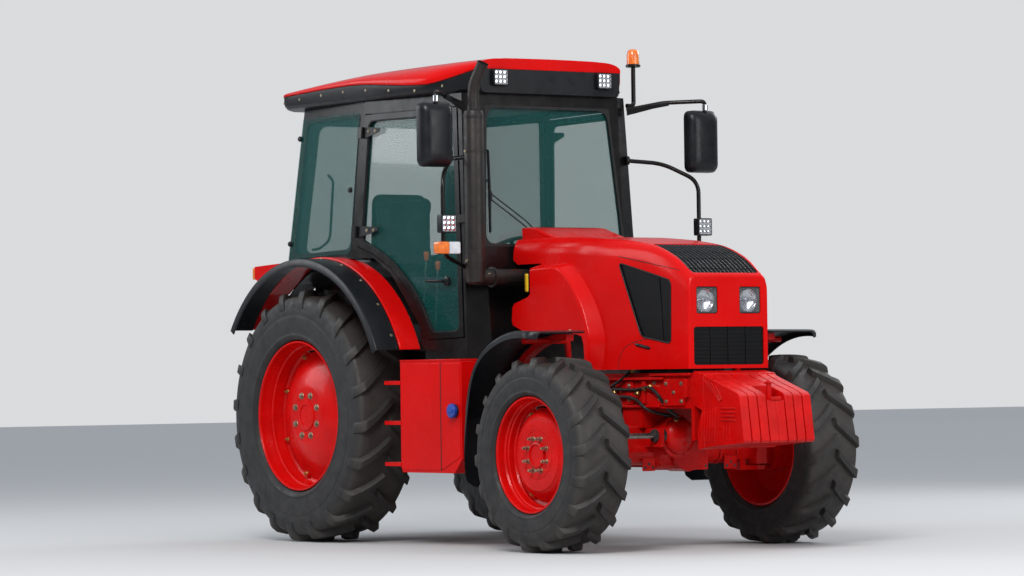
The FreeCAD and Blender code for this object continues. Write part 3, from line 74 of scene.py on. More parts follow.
looks = {
    "bodyRed": dict(slot="body_red", colour=(0.62, 0.0025, 0.0022), second=(0.55, 0.0022, 0.0020),
                    rough=(0.20, 0.30), coat=0.10, gloss=0.10, dust=0.006, scale=2.5, bump=0.02),
    "wheelRed": dict(slot="wheel_red", colour=(0.62, 0.0025, 0.0022), second=(0.52, 0.0022, 0.0020),
                     rough=(0.22, 0.36), coat=0.10, gloss=0.12, dust=0.015, scale=6, bump=0.05),
    "chassisRed": dict(slot="chassis_red", colour=(0.58, 0.0025, 0.0022), second=(0.46, 0.0022, 0.0020),
                       rough=(0.24, 0.42), coat=0.10, gloss=0.14, dust=0.025, scale=7, bump=0.10),
    "tyre": dict(slot="tyre_rubber", colour=(0.012, 0.012, 0.013), second=(0.020, 0.020, 0.021),
                 rough=(0.48, 0.72), gloss=0.36, dust=0.05, scale=9, bump=0.14),
    "iron": dict(slot="dark_iron", colour=(0.020, 0.020, 0.021), second=(0.038, 0.036, 0.034),
                 rough=(0.45, 0.70), dust=0.16, scale=10, bump=0.22, metal=0.2),
    "steel": dict(slot="steel", colour=(0.34, 0.34, 0.35), second=(0.22, 0.20, 0.18),
                  rough=(0.22, 0.45), dust=0.08, scale=16, bump=0.06, metal=0.9),
    "boltMetal": dict(slot="steel", colour=(0.36, 0.31, 0.22), second=(0.21, 0.17, 0.12),
                      rough=(0.30, 0.52), dust=0.08, scale=30, bump=0.08, metal=0.8),
    "plastic": dict(slot="black_plastic", colour=(0.0050, 0.0056, 0.0072), second=(0.0085, 0.0092, 0.0112),
                    rough=(0.26, 0.40), gloss=0.26, dust=0.012, scale=5, bump=0.05),
    "mesh": dict(slot="black_mesh", colour=(0.0026, 0.0028, 0.0034), second=(0.0038, 0.0041, 0.0048),
                 rough=(0.34, 0.46), gloss=0.16, dust=0.0, scale=12, bump=0.0, holes=230),
    "cabBlack": dict(slot="cab_black", colour=(0.0042, 0.0036, 0.0038), second=(0.0070, 0.0058, 0.0058),
                     rough=(0.18, 0.30), gloss=0.26, dust=0.006, scale=4, bump=0.03),
    "darkPlastic": dict(slot="dark_plastic", colour=(0.016, 0.017, 0.019), second=(0.026, 0.027, 0.029),
                        rough=(0.5, 0.72), dust=0.04, scale=20, bump=0.15),
    "rubber": dict(slot="dark_plastic", colour=(0.0050, 0.0050, 0.0058), second=(0.0085, 0.0085, 0.0092),
                   rough=(0.40, 0.66), gloss=0.35, dust=0.03, scale=14, bump=0.08),
    "cloth": dict(slot="cloth", colour=(0.024, 0.026, 0.032), second=(0.040, 0.042, 0.048),
                  rough=(0.82, 0.95), dust=0.05, scale=8, bump=0.3, weave=420),
    "exhaust": dict(slot="exhaust_steel", colour=(0.010, 0.009, 0.009), second=(0.020, 0.015, 0.013),
                    rough=(0.36, 0.58), gloss=0.4, dust=0.02, scale=9, bump=0.14, metal=0.2),
    "lens": dict(slot="lamp_lens", colour=(0.80, 0.84, 0.88), second=(0.70, 0.75, 0.80),
                 rough=(0.04, 0.10), dust=0.0, scale=6, bump=0.01, alpha=0.05, coat=0.6),
    "chrome": dict(slot="lamp_lens", colour=(0.74, 0.75, 0.77), second=(0.62, 0.63, 0.65),
                   rough=(0.05, 0.16), dust=0.02, scale=12, bump=0.01, metal=1.0),
    "brass": dict(slot="steel", colour=(0.50, 0.34, 0.12), second=(0.36, 0.24, 0.09),
                  rough=(0.25, 0.45), dust=0.06, scale=25, bump=0.04, metal=0.9),
    "whiteLens": dict(slot="lamp_lens", colour=(0.66, 0.70, 0.74), second=(0.50, 0.54, 0.58),
                      rough=(0.10, 0.25), dust=0.05, scale=30, bump=0.3, coat=0.8),
    "glass": dict(slot="tinted_glass", colour=(0.009, 0.118, 0.106), second=(0.008, 0.106, 0.096),
                  rough=(0.015, 0.03), dust=0.0, scale=0.8, bump=0.0, alpha=0.26, coat=0.8),
    "mirror": dict(slot="lamp_lens", colour=(0.55, 0.58, 0.60), second=(0.50, 0.53, 0.55),
                   rough=(0.02, 0.08), dust=0.03, scale=5, bump=0.0, metal=1.0),
    "amber": dict(slot="amber_lens", colour=(0.82, 0.19, 0.006), second=(0.66, 0.12, 0.005),
                  rough=(0.10, 0.25), dust=0.03, scale=30, bump=0.25, coat=0.8),
    "tailRed": dict(slot="amber_lens", colour=(0.45, 0.008, 0.008), second=(0.32, 0.006, 0.006),
                    rough=(0.12, 0.28), dust=0.04, scale=30, bump=0.25, coat=0.8),
    "orange": dict(slot="amber_lens", colour=(0.70, 0.13, 0.010), second=(0.55, 0.09, 0.008),
                   rough=(0.35, 0.5), dust=0.03, scale=9, bump=0.04),
    "blue": dict(slot="black_plastic", colour=(0.006, 0.050, 0.36), second=(0.006, 0.040, 0.28),
                 rough=(0.34, 0.5), dust=0.06, scale=12, bump=0.04),
    "yellow": dict(slot="body_red", colour=(0.76, 0.47, 0.008), second=(0.64, 0.39, 0.008),
                   rough=(0.32, 0.5), dust=0.04, scale=10, bump=0.01),
    "reflector": dict(slot="lamp_lens", colour=(0.46, 0.47, 0.50), second=(0.38, 0.39, 0.42),
                      rough=(0.10, 0.22), dust=0.0, scale=12, bump=0.01, metal=1.0),
    "lampGrey": dict(slot="lamp_lens", colour=(0.36, 0.38, 0.40), second=(0.28, 0.30, 0.32),
                     rough=(0.12, 0.25), dust=0.02, scale=30, bump=0.05, coat=0.4),
    "board": dict(slot="dark_plastic", colour=(0.055, 0.060, 0.064), second=(0.075, 0.080, 0.084),
                  rough=(0.45, 0.65), dust=0.04, scale=12, bump=0.10),
}
dustColour = (0.120, 0.100, 0.082)


def paint(name, look):
    # base colour and roughness vary by noise, dust lies low down and where the mesh says so
    made = bpy.data.materials.new(name)
    made.use_nodes = True
    tree = made.node_tree
    tree.nodes.clear()

    def add(kind, **given):
        node = tree.nodes.new(kind)
        for key, value in given.items():
            setattr(node, key, value)
        return node

    def noise(scale, detail):
        node = add("ShaderNodeTexNoise")
        node.inputs["Scale"].default_value = scale
        node.inputs["Detail"].default_value = detail
        tree.links.new(place.outputs["Object"], node.inputs["Vector"])
        return node.outputs["Fac"]

    def cells(scale, loose):
        node = add("ShaderNodeTexVoronoi")
        node.inputs["Scale"].default_value = scale
        node.inputs["Randomness"].default_value = loose
        tree.links.new(place.outputs["Object"], node.inputs["Vector"])
        return node.outputs["Distance"]

    def sums(kind, first, second):
        node = add("ShaderNodeMath", operation=kind)
        for slot, value in zip(node.inputs, (first, second)):
            if isinstance(value, float):
                slot.default_value = value
            else:
                tree.links.new(value, slot)
        node.use_clamp = kind == "MULTIPLY"
        return node.outputs[0]

    def ranged(value, fromLow, fromHigh, low, high):
        node = add("ShaderNodeMapRange")
        for slot, number in zip(node.inputs[1:5], (fromLow, fromHigh, low, high)):
            slot.default_value = number
        tree.links.new(value, node.inputs[0])
        return node.outputs[0]

    def mixed(factor, first, second):
        node = add("ShaderNodeMix", data_type="RGBA")
        tree.links.new(factor, node.inputs["Factor"])
        for slot, value in ((node.inputs[6], first), (node.inputs[7], second)):
            if isinstance(value, tuple):
                slot.default_value = (*value, 1)
            else:
                tree.links.new(value, slot)
        return node.outputs[2]

    place = add("ShaderNodeTexCoord")
    shader = add("ShaderNodeBsdfPrincipled")
    result = add("ShaderNodeOutputMaterial")
    tree.links.new(shader.outputs[0], result.inputs[0])
    scale = look["scale"]
    patches = ranged(noise(scale, 3), 0.35, 0.65, 0.0, 1.0)
    speckle = noise(scale * 14, 4)
    colour = mixed(patches, look["colour"], look["second"])
    split = add("ShaderNodeSeparateXYZ")
    tree.links.new(place.outputs["Object"], split.inputs[0])
    low = ranged(split.outputs["Z"], 0.15, 1.9, 1.0, 0.25)
    grime = ranged(noise(scale * 1.7, 6), 0.40, 0.72, 0.0, 1.0)
    mark = add("ShaderNodeAttribute", attribute_name="dust")
    dusty = sums("MULTIPLY", sums("MULTIPLY", low, grime), look["dust"] * 2.0)
    shown = sums("MULTIPLY", mark.outputs["Fac"], ranged(speckle, 0.2, 0.7, 0.55, 1.0))
    dusty = sums("MAXIMUM", dusty, shown)
    colour = mixed(dusty, colour, dustColour)
    if "holes" in look:
        hole = ranged(cells(look["holes"], 0.0), 0.30, 0.42, 1.0, 0.0)
        colour = mixed(hole, colour, (0.002, 0.002, 0.002))
    tree.links.new(colour, shader.inputs["Base Color"])
    rough = ranged(noise(scale * 3, 4), 0.3, 0.7, *look["rough"])
    tree.links.new(sums("MAXIMUM", rough, sums("MULTIPLY", dusty, 0.8)), shader.inputs["Roughness"])
    shader.inputs["Metallic"].default_value = look.get("metal", 0.0)
    shader.inputs["Specular IOR Level"].default_value = look.get("gloss", 0.5)
    shader.inputs["Coat Weight"].default_value = look.get("coat", 0.0)
    shader.inputs["Coat Roughness"].default_value = 0.08
    relief = add("ShaderNodeBump")
    relief.inputs["Strength"].default_value = look["bump"]
    relief.inputs["Distance"].default_value = 0.002
    if "weave" in look:
        speckle = sums("ADD", speckle, cells(look["weave"], 0.2))
    tree.links.new(speckle, relief.inputs["Height"])
    if look["bump"] > 0.001:
        tree.links.new(relief.outputs[0], shader.inputs["Normal"])
    shader.inputs["Alpha"].default_value = look.get("alpha", 1.0)
    return made


paints = {name: paint(name, look) for name, look in looks.items()}
# each slot of the solids takes the first look above that has it
slotLooks = {look["slot"]: name for name, look in reversed(looks.items())}
for entry in frame["record"]["subparts"]:
    shown = frame["nodes"][entry["node"]]
    shown.data.materials.clear()
    shown.data.materials.append(paints[slotLooks[entry["material_slot"]]])
print("materials", len(paints))


# Mesh helpers


def meshObject(name, bm):
    # a bmesh made into an object, and freed
    mesh = bpy.data.meshes.new(name)
    bm.to_mesh(mesh)
    bm.free()
    made = bpy.data.objects.new(name, mesh)
    bpy.context.scene.collection.objects.link(made)
    return made


def piece(name, bm, body, look, stands=(), bevel=0.0, segments=2, thick=0.0, smooth=35, dust=None):
    # turns a bmesh into one finished piece on a body
    bmesh.ops.remove_doubles(bm, verts=bm.verts, dist=0.00002)
    bmesh.ops.recalc_face_normals(bm, faces=bm.faces)
    made = meshObject(name, bm)
    mesh = made.data
    mesh.materials.append(paints[look])
    if dust:
        marks = mesh.attributes.new("dust", "FLOAT", "POINT")
        for corner in mesh.vertices:
            marks.data[corner.index].value = dust(corner.co)
    if thick:
        skin = made.modifiers.new("thickness", "SOLIDIFY")
        skin.thickness = thick
        skin.offset = -1
    if bevel:
        edge = made.modifiers.new("edges", "BEVEL")
        edge.width = bevel
        edge.segments = segments
        edge.limit_method = "ANGLE"
        edge.angle_limit = radians(32)
        edge.harden_normals = False
    mesh.shade_smooth()
    mesh.set_sharp_from_angle(angle=radians(smooth))
    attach(made, body)
    if stands:
        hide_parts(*stands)
    return made


def applied(made):
    # the piece with its modifiers carried out
    view = bpy.context.evaluated_depsgraph_get()
    fresh = bpy.data.meshes.new_from_object(made.evaluated_get(view))
    made.modifiers.clear()
    made.data = fresh
    return made


def frameOf(axis):
    # an axis made one long, and two directions square to it
    axis = Vector(axis).normalized()
    side = axis.cross(up if abs(axis.z) < 0.9 else forward).normalized()
    return axis, side, axis.cross(side)


def spin(bm, profile, centre, axis, steps=48, closed=False):
    # turns radius and height pairs about an axis
    axis, side, other = frameOf(axis)
    rings = []
    for radius, along in profile:
        hub = centre + axis * along
        if radius < 0.00001:
            rings.append([bm.verts.new(hub)])
            continue
        ring = []
        for step in range(steps):
            angle = tau * step / steps
            ring.append(bm.verts.new(hub + (side * cos(angle) + other * sin(angle)) * radius))
        rings.append(ring)
    pairs = list(zip(rings, rings[1:]))
    if closed:
        pairs.append((rings[-1], rings[0]))
    for low, high in pairs:
        for step in range(steps):
            corners = []
            for ring, index in ((low, step), (low, step + 1), (high, step + 1), (high, step)):
                corner = ring[index % len(ring)]
                if corner not in corners:
                    corners.append(corner)
            if len(corners) > 2:
                bm.faces.new(corners)


def sweep(bm, points, radius, sides=14, capped=True):
    # a round tube along a line of points
    side = frameOf(points[1] - points[0])[1]
    rings = []
    for index, point in enumerate(points):
        before = points[max(index - 1, 0)]
        after = points[min(index + 1, len(points) - 1)]
        heading = (after - before).normalized()
        side = (side - heading * side.dot(heading)).normalized()
        other = heading.cross(side)
        size = radius[index] if isinstance(radius, list) else radius
        ring = []
        for step in range(sides):
            angle = tau * step / sides
            ring.append(bm.verts.new(point + (side * cos(angle) + other * sin(angle)) * size))
        rings.append(ring)
    for low, high in zip(rings, rings[1:]):
        for step in range(sides):
            after = (step + 1) % sides
            bm.faces.new((low[step], low[after], high[after], high[step]))
    if capped:
        bm.faces.new(rings[0])
        bm.faces.new(rings[-1])


def rounded(points, radius, steps=6):
    # a line of points with its corners rounded
    line = [points[0]]
    for before, corner, after in zip(points, points[1:], points[2:]):
        back = before - corner
        on = after - corner
        reach = min(radius, back.length * 0.48, on.length * 0.48)
        first = corner + back.normalized() * reach
        last = corner + on.normalized() * reach
        for step in range(steps + 1):
            share = step / steps
            line.append(first.lerp(corner, share).lerp(corner.lerp(last, share), share))
    line.append(points[-1])
    return line


def slab(bm, outline, depth):
    # a flat outline pulled out along a vector
    loft(bm, [outline, [corner + depth for corner in outline]], capped=True, around=True)


def roundedOutline(points, radius, steps=5):
    # a closed outline with its corners rounded, or as it is where the radius is 0
    if not radius:
        return points
    return rounded([points[-1]] + points + [points[0]], radius, steps)[1:-1]


def sideOutline(y, pairs, radius=0.0, steps=5):
    # an outline of x and z pairs, drawn as seen from the side
    return roundedOutline([at(x, y, z) for x, z in pairs], radius, steps)


def frontRectangle(x, y0, y1, z0, z1, radius=0.0, steps=5):
    # a rectangle that faces along the tractor; the next two face sideways and up
    return roundedOutline([at(x, y0, z0), at(x, y1, z0), at(x, y1, z1), at(x, y0, z1)], radius, steps)


def sideRectangle(y, x0, x1, z0, z1, radius=0.0, steps=5):
    return sideOutline(y, ((x0, z0), (x1, z0), (x1, z1), (x0, z1)), radius, steps)


def flatRectangle(z, x0, x1, y0, y1, radius=0.0, steps=5):
    return roundedOutline([at(x0, y0, z), at(x1, y0, z), at(x1, y1, z), at(x0, y1, z)], radius, steps)


def brick(bm, x0, x1, y0, y1, z0, z1):
    slab(bm, flatRectangle(z0, x0, x1, y0, y1), up * (z1 - z0))


def beam(bm, start, end, width, height, lift=up):
    # a rectangular bar between two points
    run = (end - start).normalized()
    side = lift.cross(run).normalized()
    top = run.cross(side)
    corners = []
    for across, rise in ((-1, -1), (1, -1), (1, 1), (-1, 1)):
        corners.append(start + side * across * width / 2 + top * rise * height / 2)
    slab(bm, corners, end - start)


def bolt(bm, spot, normal, size, tall, washer=True):
    # a hexagon head of a given half width and height, on a flat washer
    if washer:
        spin(bm, [(0, 0.0022), (size * 1.15, 0.0022), (size * 1.25, 0.0)], spot, normal, 16)
    spin(bm, [(size * 0.93, 0.002), (size * 0.93, tall - 0.001), (size * 0.78, tall), (0, tall)],
         spot, normal, 6)


def collar(hole, size, half, bite, drop):
    # the section of a flat ring with chamfered edges
    return [(hole, -half), (size - bite, -half), (size, drop - half), (size, half - drop),
            (size - bite, half), (hole, half)]


def arcPairs(parts, first, last, wide, tall, across=0.0, along=0.0):
    # radius and height pairs on an arc about a point of the profile
    turns = [first + (last - first) * step / parts for step in range(parts + 1)]
    return [(across + wide * cos(turn), along + tall * sin(turn)) for turn in turns]


def spokes(count, first, second, shift=0.0):
    # unit vectors evenly round a circle, from the first direction towards the second
    turns = [tau * (number + shift) / count for number in range(count)]
    return [first * cos(turn) + second * sin(turn) for turn in turns]


def loft(bm, rows, capped=False, around=False):
    # a skin over rows of points, each with as many as the others
    rings = [[bm.verts.new(corner) for corner in row] for row in rows]
    count = len(rings[0])
    for low, high in zip(rings, rings[1:]):
        for index in range(count if around else count - 1):
            after = (index + 1) % count
            bm.faces.new((low[index], low[after], high[after], high[index]))
    if capped:
        bm.faces.new(rings[0])
        bm.faces.new(rings[-1])


def pad(low, high, value):
    # how far a value lies between two others, kept from 0 to 1
    return max(0.0, min(1.0, (value - low) / (high - low)))


def eased(value):
    return value * value * (3 - 2 * value)


def curveThrough(table, value):
    # smooth values between the rows of a table whose first column rises
    index = 0
    while index < len(table) - 2 and value > table[index + 1][0]:
        index += 1
    first, second = table[index], table[index + 1]
    before = table[max(index - 1, 0)]
    after = table[min(index + 2, len(table) - 1)]
    gap = second[0] - first[0]
    share = pad(0, gap, value - first[0])
    result = []
    for column in range(1, len(first)):
        slopeOne = (second[column] - before[column]) / (second[0] - before[0])
        slopeTwo = (after[column] - first[column]) / (after[0] - first[0])
        if (second[column] - first[column]) * slopeOne <= 0:
            slopeOne = 0
        if (second[column] - first[column]) * slopeTwo <= 0:
            slopeTwo = 0
        cube = share ** 3
        square = share ** 2
        result.append((2 * cube - 3 * square + 1) * first[column]
                      + (cube - 2 * square + share) * gap * slopeOne
                      + (3 * square - 2 * cube) * second[column]
                      + (cube - square) * gap * slopeTwo)
    return result


# Wheels

wheels = {
    "rear": dict(x=0.0, z=0.768, track=0.776, radius=0.768, half=0.215, rim=0.457, rimHalf=0.191,
                 lug=0.038, lugs=40, disc=0.010, hub=0.128, face=0.175, studs=0.130, tall=0.012,
                 size=0.017, clamps=8),
    "front": dict(x=2.45, z=0.550, track=0.820, radius=0.550, half=0.1785, rim=0.330, rimHalf=0.155,
                  lug=0.034, lugs=36, disc=0.010, hub=0.100, face=0.205, studs=0.096, tall=0.026,
                  size=0.012, clamps=6),
}


def buildTyre(kind, side, body, node):
    w = wheels[kind]
    centre = at(w["x"], side * w["track"], w["z"])
    tread = w["radius"] - w["lug"]
    wallHeight = tread - w["rim"]
    profile = []
    for share, across in ((0.02, 0.86), (0.05, 0.93), (0.10, 0.965), (0.13, 0.985), (0.15, 0.975),
                          (0.22, 0.985), (0.34, 0.998), (0.50, 1.0), (0.56, 1.0), (0.575, 0.992),
                          (0.60, 0.998), (0.70, 0.99), (0.80, 0.975), (0.90, 0.94), (0.96, 0.89),
                          (0.985, 0.82), (0.998, 0.6), (1.0, 0.3)):
        profile.append((w["rim"] + wallHeight * share, w["half"] * across))
    profile += [(radius, -across) for radius, across in reversed(profile)]
    bm = bmesh.new()
    spin(bm, profile, centre, left * side, 96)
    slope = tan(radians(38))
    half = w["half"]
    base = tread - 0.012
    for number in range(w["lugs"]):
        turn = pi + tau * number / w["lugs"]
        hand = -1 if number % 2 else 1
        rows = []
        for across, drop, sink in ((0.004, 0.0, 0.0), (0.22, 0.0, 0.0), (0.42, 0.0, 0.0),
                                   (0.62, 0.001, 0.0), (0.78, 0.003, 0.002), (0.85, 0.006, 0.004),
                                   (0.885, 0.012, 0.010), (0.93, 0.028, 0.020),
                                   (0.965, 0.046, 0.030), (0.99, 0.066, 0.042),
                                   (1.004, 0.080, 0.060)):
            reach = half * across
            middle = -half * slope / 2 + reach * slope + 0.010 * sin(pi * across)
            top = w["radius"] - drop
            foot = min(base - sink, top - 0.006)
            grow = 0.006 * eased(pad(0.5, 0.9, across))
            row = []
            for shift, height in ((-0.031, foot), (-0.0235, top - 0.007), (-0.019, top),
                                  (0.019, top), (0.0235, top - 0.007), (0.031, foot)):
                wide = shift + copysign(grow, shift)
                angle = turn + (middle + wide) / w["radius"]
                row.append(centre + Vector((height * sin(angle), side * hand * reach,
                                            height * cos(angle))))
            rows.append(row)
        loft(bm, rows, capped=True, around=True)

    def dust(co):
        offset = co - centre
        radius = hypot(offset.x, offset.z)
        onTread = eased(pad(tread - 0.05, tread - 0.004, radius))
        onTop = eased(pad(w["radius"] - 0.012, w["radius"] - 0.002, radius))
        return 0.24 * onTread - 0.14 * onTop + 0.05 * pad(0, 1, 1 - abs(radius - w["rim"]) / 0.05)

    piece("%sTyre" % body, bm, body, "tyre", (node,), dust=dust, smooth=38)


def buildRim(kind, side, body, node):
    w = wheels[kind]
    centre = at(w["x"], side * w["track"], w["z"])
    axis = left * side
    edge, lip, well = w["rim"], w["rimHalf"], w["rim"] - 0.050
    disc, hub, face = w["disc"], w["hub"], w["face"]
    bm = bmesh.new()
    profile = [(edge, lip - 0.004), (edge - 0.002, lip), (edge - 0.011, lip), (edge - 0.014, lip - 0.004)]
    ridges = 2
    depth = (lip - disc - 0.03) / ridges
    for ridge in range(ridges):
        outer = lip - 0.014 - depth * ridge
        high = edge - 0.016 - 0.032 * ridge / ridges
        profile += [(high, outer), (high - 0.001, outer - depth * 0.55),
                    (high - 0.008, outer - depth * 0.72), (high - 0.008, outer - depth * 0.90)]
    profile += [(well, disc + 0.016), (well - 0.010, disc + 0.014)]
    run = well - 0.010 - face
    rise = hub - disc - 0.014
    for share in (0.15, 0.30, 0.45, 0.60, 0.75, 0.88, 0.96):
        bulge = share + 0.16 * sin(pi * share)
        profile.append((well - 0.010 - run * share, disc + 0.014 + rise * min(bulge, 0.995)))
    if kind == "rear":
        profile += [(face, hub), (face - 0.022, hub), (0.092, hub), (0.090, hub + 0.006),
                    (0.066, hub + 0.008), (0.064, hub + 0.003), (0.0, hub + 0.003)]
    else:
        profile += [(face + 0.002, hub - 0.010), (face, hub - 0.001), (face - 0.004, hub),
                    (face * 0.68, hub), (face * 0.675, hub - 0.002), (face * 0.665, hub - 0.002),
                    (face * 0.66, hub), (0.074, hub), (0.072, hub + 0.010), (0.060, hub + 0.013),
                    (0.058, hub + 0.006), (0.0, hub + 0.006)]
    spin(bm, profile, centre, axis, 96)
    back = [(edge, lip - 0.004), (edge, -lip), (edge - 0.014, -lip), (well - 0.006, disc - 0.006),
            (face - 0.055, hub - 0.060), (0.03, hub - 0.060)]
    spin(bm, back, centre, axis, 72)
    ring = w["rim"] - 0.070
    for out in spokes(w["clamps"], up, forward, 0.5):
        spin(bm, [(0.026, -0.004), (0.024, 0.009), (0.022, 0.010), (0, 0.010)],
             centre + out * ring + axis * (disc + 0.020), axis, 20)
    piece("%sRim" % body, bm, body, "wheelRed", (node,), smooth=32)
    bm = bmesh.new()
    tall = w["tall"]
    for out in spokes(8, up, forward, 0.5):
        spot = centre + out * w["studs"] + axis * hub
        bolt(bm, spot, axis, w["size"], tall)
        if kind == "front":
            tip = [(0.007, tall), (0.007, tall + 0.012), (0.005, tall + 0.014), (0, tall + 0.014)]
        else:
            tip = [(0.008, tall), (0.008, tall + 0.004), (0, tall + 0.005)]
        spin(bm, tip, spot, axis, 12)
    piece("%sBolts" % body, bm, body, "boltMetal", smooth=30)
    bm = bmesh.new()
    for out in spokes(w["clamps"], up, forward, 0.5):
        spot = centre + out * ring + axis * (disc + 0.030)
        bolt(bm, spot, axis, 0.012, 0.010)
        spin(bm, [(0.007, 0.010), (0.007, 0.018), (0.005, 0.020), (0, 0.020)], spot, axis, 12)
    piece("%sRimBolts" % body, bm, body, "brass", smooth=30)
    bm = bmesh.new()
    stem = centre + up * (edge - 0.062) + axis * (disc + 0.026)
    bend = stem + axis * 0.05 - up * 0.004
    sweep(bm, [stem, stem + axis * 0.03, bend], 0.0055, 10)
    sweep(bm, [bend, stem + axis * 0.066 - up * 0.006], 0.0075, 10)
    piece("%sValve" % body, bm, body, "rubber", smooth=30)


for kind in ("rear", "front"):
    for side, hand in ((1, "left"), (-1, "right")):
        body = "%s_%s_wheel" % (kind, hand)
        buildTyre(kind, side, body, "%s_%s_tyre" % (kind, hand))
        buildRim(kind, side, body, "%s_%s_rim" % (kind, hand))
print("wheels")


# Hood

hood = dict(back=1.400, nose=3.033, low=1.022, foot=0.902, flank=0.416, flankRoot=0.270, skin=0.009)
# columns: x, half width low, at the shoulder, shoulder height, half width of the top, top height
hoodTable = [
    (1.400, 0.350, 0.328, 1.690, 0.280, 1.800),
    (1.750, 0.356, 0.334, 1.690, 0.280, 1.800),
    (2.100, 0.356, 0.338, 1.680, 0.270, 1.790),
    (2.635, 0.300, 0.300, 1.622, 0.244, 1.734),
    (2.868, 0.291, 0.292, 1.535, 0.250, 1.655),
    (3.033, 0.284, 0.284, 1.450, 0.240, 1.545),
]
# upper and front edge of the flank: x and z on its face, then at its root
flankEdge = [
    (1.360, 1.612, 1.360, 1.655), (1.760, 1.622, 1.780, 1.665), (1.965, 1.624, 2.005, 1.667),
    (2.075, 1.540, 2.140, 1.575), (2.160, 1.430, 2.245, 1.455), (2.215, 1.330, 2.305, 1.345),
    (2.262, 1.200, 2.352, 1.200), (2.250, 1.110, 2.335, 1.060), (2.235, 1.022, 2.300, 0.960),
    (2.225, 0.930, 2.290, 0.900)]


def sideOf(x, z, first):
    # distance from a line of the flank's edge, negative behind it
    best = 9.0
    behind = True
    for one, two in zip(flankEdge, flankEdge[1:]):
        x0, z0 = one[first:first + 2]
        x1, z1 = two[first:first + 2]
        share = pad(0, 1, ((x - x0) * (x1 - x0) + (z - z0) * (z1 - z0)) / ((x1 - x0) ** 2 + (z1 - z0) ** 2))
        away = hypot(x - x0 - (x1 - x0) * share, z - z0 - (z1 - z0) * share)
        if away < best:
            best = away
            behind = (x1 - x0) * (z - z0) - (z1 - z0) * (x - x0) < 0
    return -best if behind else best


def flankRise(x, z, base):
    # how far the flank stands out from the hood's side
    onFace = sideOf(x, z, 0)
    atRoot = sideOf(x, z, 2)
    if atRoot >= 0:
        return 0.0
    share = 1.0 if onFace <= 0 else -atRoot / (onFace - atRoot)
    return max(hood["flank"] - base, 0.0) * (share * 0.75 + 0.25 * eased(share))


def hoodRow(x, inset=0.0):
    low, shoulder, level, flat, top = curveThrough(hoodTable, x)
    points = []
    for step in range(34):
        share = step / 34
        z = hood["foot"] + (level - hood["foot"]) * share
        y = low + (shoulder - low) * share
        points.append((y - inset, z))
    for step in range(12):
        turn = pi / 2 * step / 12
        z = level + (top - level) * sin(turn)
        y = flat + (shoulder - flat) * cos(turn)
        points.append((y - inset * cos(turn), z - inset * sin(turn)))
    for step in range(4):
        points.append((flat * (1 - step / 4), top - inset))
    row = [at(x, -y, z) for y, z in points] + [at(x, 0, top - inset)]
    row += [at(x, y, z) for y, z in reversed(points)]
    return row


def helper(name, bm):
    # a shape that only cuts or adds to another
    bmesh.ops.recalc_face_normals(bm, faces=bm.faces)
    return meshObject(name, bm)


def cutter(name, outline, depth):
    bm = bmesh.new()
    slab(bm, outline, depth)
    return helper(name, bm)


def flankBlock(side, inset):
    # the raised flank as a block with sloping, rounded edges
    face = []
    root = []
    for faceX, faceZ, rootX, rootZ in flankEdge:
        face.append(at(faceX - inset * 0.6, side * (hood["flank"] - inset), faceZ - inset * 0.6))
        root.append(at(rootX - inset * 0.6, side * hood["flankRoot"], rootZ - inset * 0.6))
    rings = []
    for ring in (root, face):
        ring = rounded(ring, 0.05, 4)
        ring += [Vector((ring[0].x, ring[0].y, ring[-1].z))]
        rings.append(ring)
    bm = bmesh.new()
    loft(bm, rings, capped=True, around=True)
    made = helper("flank", bm)
    edge = made.modifiers.new("edges", "BEVEL")
    edge.width = 0.014
    edge.segments = 4
    edge.angle_limit = radians(25)
    return applied(made)


def carve(made, tools):
    # cuts with each tool in turn: a shape and whether it is kept or taken away
    for tool, way in tools:
        cut = made.modifiers.new("cut", "BOOLEAN")
        cut.operation = way
        cut.object = tool
        cut.solver = "EXACT"
    applied(made)
    for tool, way in tools:
        bpy.data.objects.remove(tool)


bm = bmesh.new()
rows = []
count = 110
for step in range(count + 1):
    rows.append(hoodRow(hood["back"] + (hood["nose"] - 0.010 - hood["back"]) * step / count))
rows.append(hoodRow(hood["nose"] - 0.003, 0.004))
rows.append(hoodRow(hood["nose"], 0.012))
inner = []
for step in range(count + 1):
    x = hood["back"] - 0.02 + (hood["nose"] - 0.012 - hood["back"] + 0.02) * step / count
    inner.append(hoodRow(max(x, hood["back"]), hood["skin"]))
    for corner in inner[-1]:
        corner.x = x - rearAxle
loft(bm, rows, capped=True, around=True)
shell = piece("hoodSkin", bm, "hood", "bodyRed", ("hood_shell",))
bm = bmesh.new()
loft(bm, inner, capped=True, around=True)
inside = helper("hoodInside", bm)


outlineCut = cutter("outlineCut", sideOutline(-0.6, [
    (1.395, 1.92), (1.395, 1.682), (1.445, 1.650), (1.688, 1.650), (1.688, 1.470), (1.660, 1.452),
    (1.530, 1.418), (1.510, 1.400), (1.501, 1.320), (1.512, 1.292), (1.630, 1.248), (1.680, 1.239),
    (2.150, 1.229), (2.195, 1.215), (2.212, 1.170), (2.225, hood["low"]), (3.085, hood["low"]),
    (3.085, 1.92)]), left * 1.2)
sideMesh = [(2.427, 1.631), (2.880, 1.520), (2.874, 1.165), (2.615, 1.208)]
sideCut = cutter("sideCut", sideOutline(-0.6, sideMesh, 0.030), left * 1.2)
topCut = cutter("topCut", flatRectangle(1.5, 2.636, 3.011, -0.240, 0.240, 0.03), up * 0.5)
frontCut = cutter("frontCut", frontRectangle(3.00, -0.250, 0.250, 1.042, 1.257, 0.02), forward * 0.1)
headlight = dict(rights=(0.077, -0.229), low=1.330, size=0.152, face=3.017, back=2.993, dark=0.90)
skin = hood["skin"]
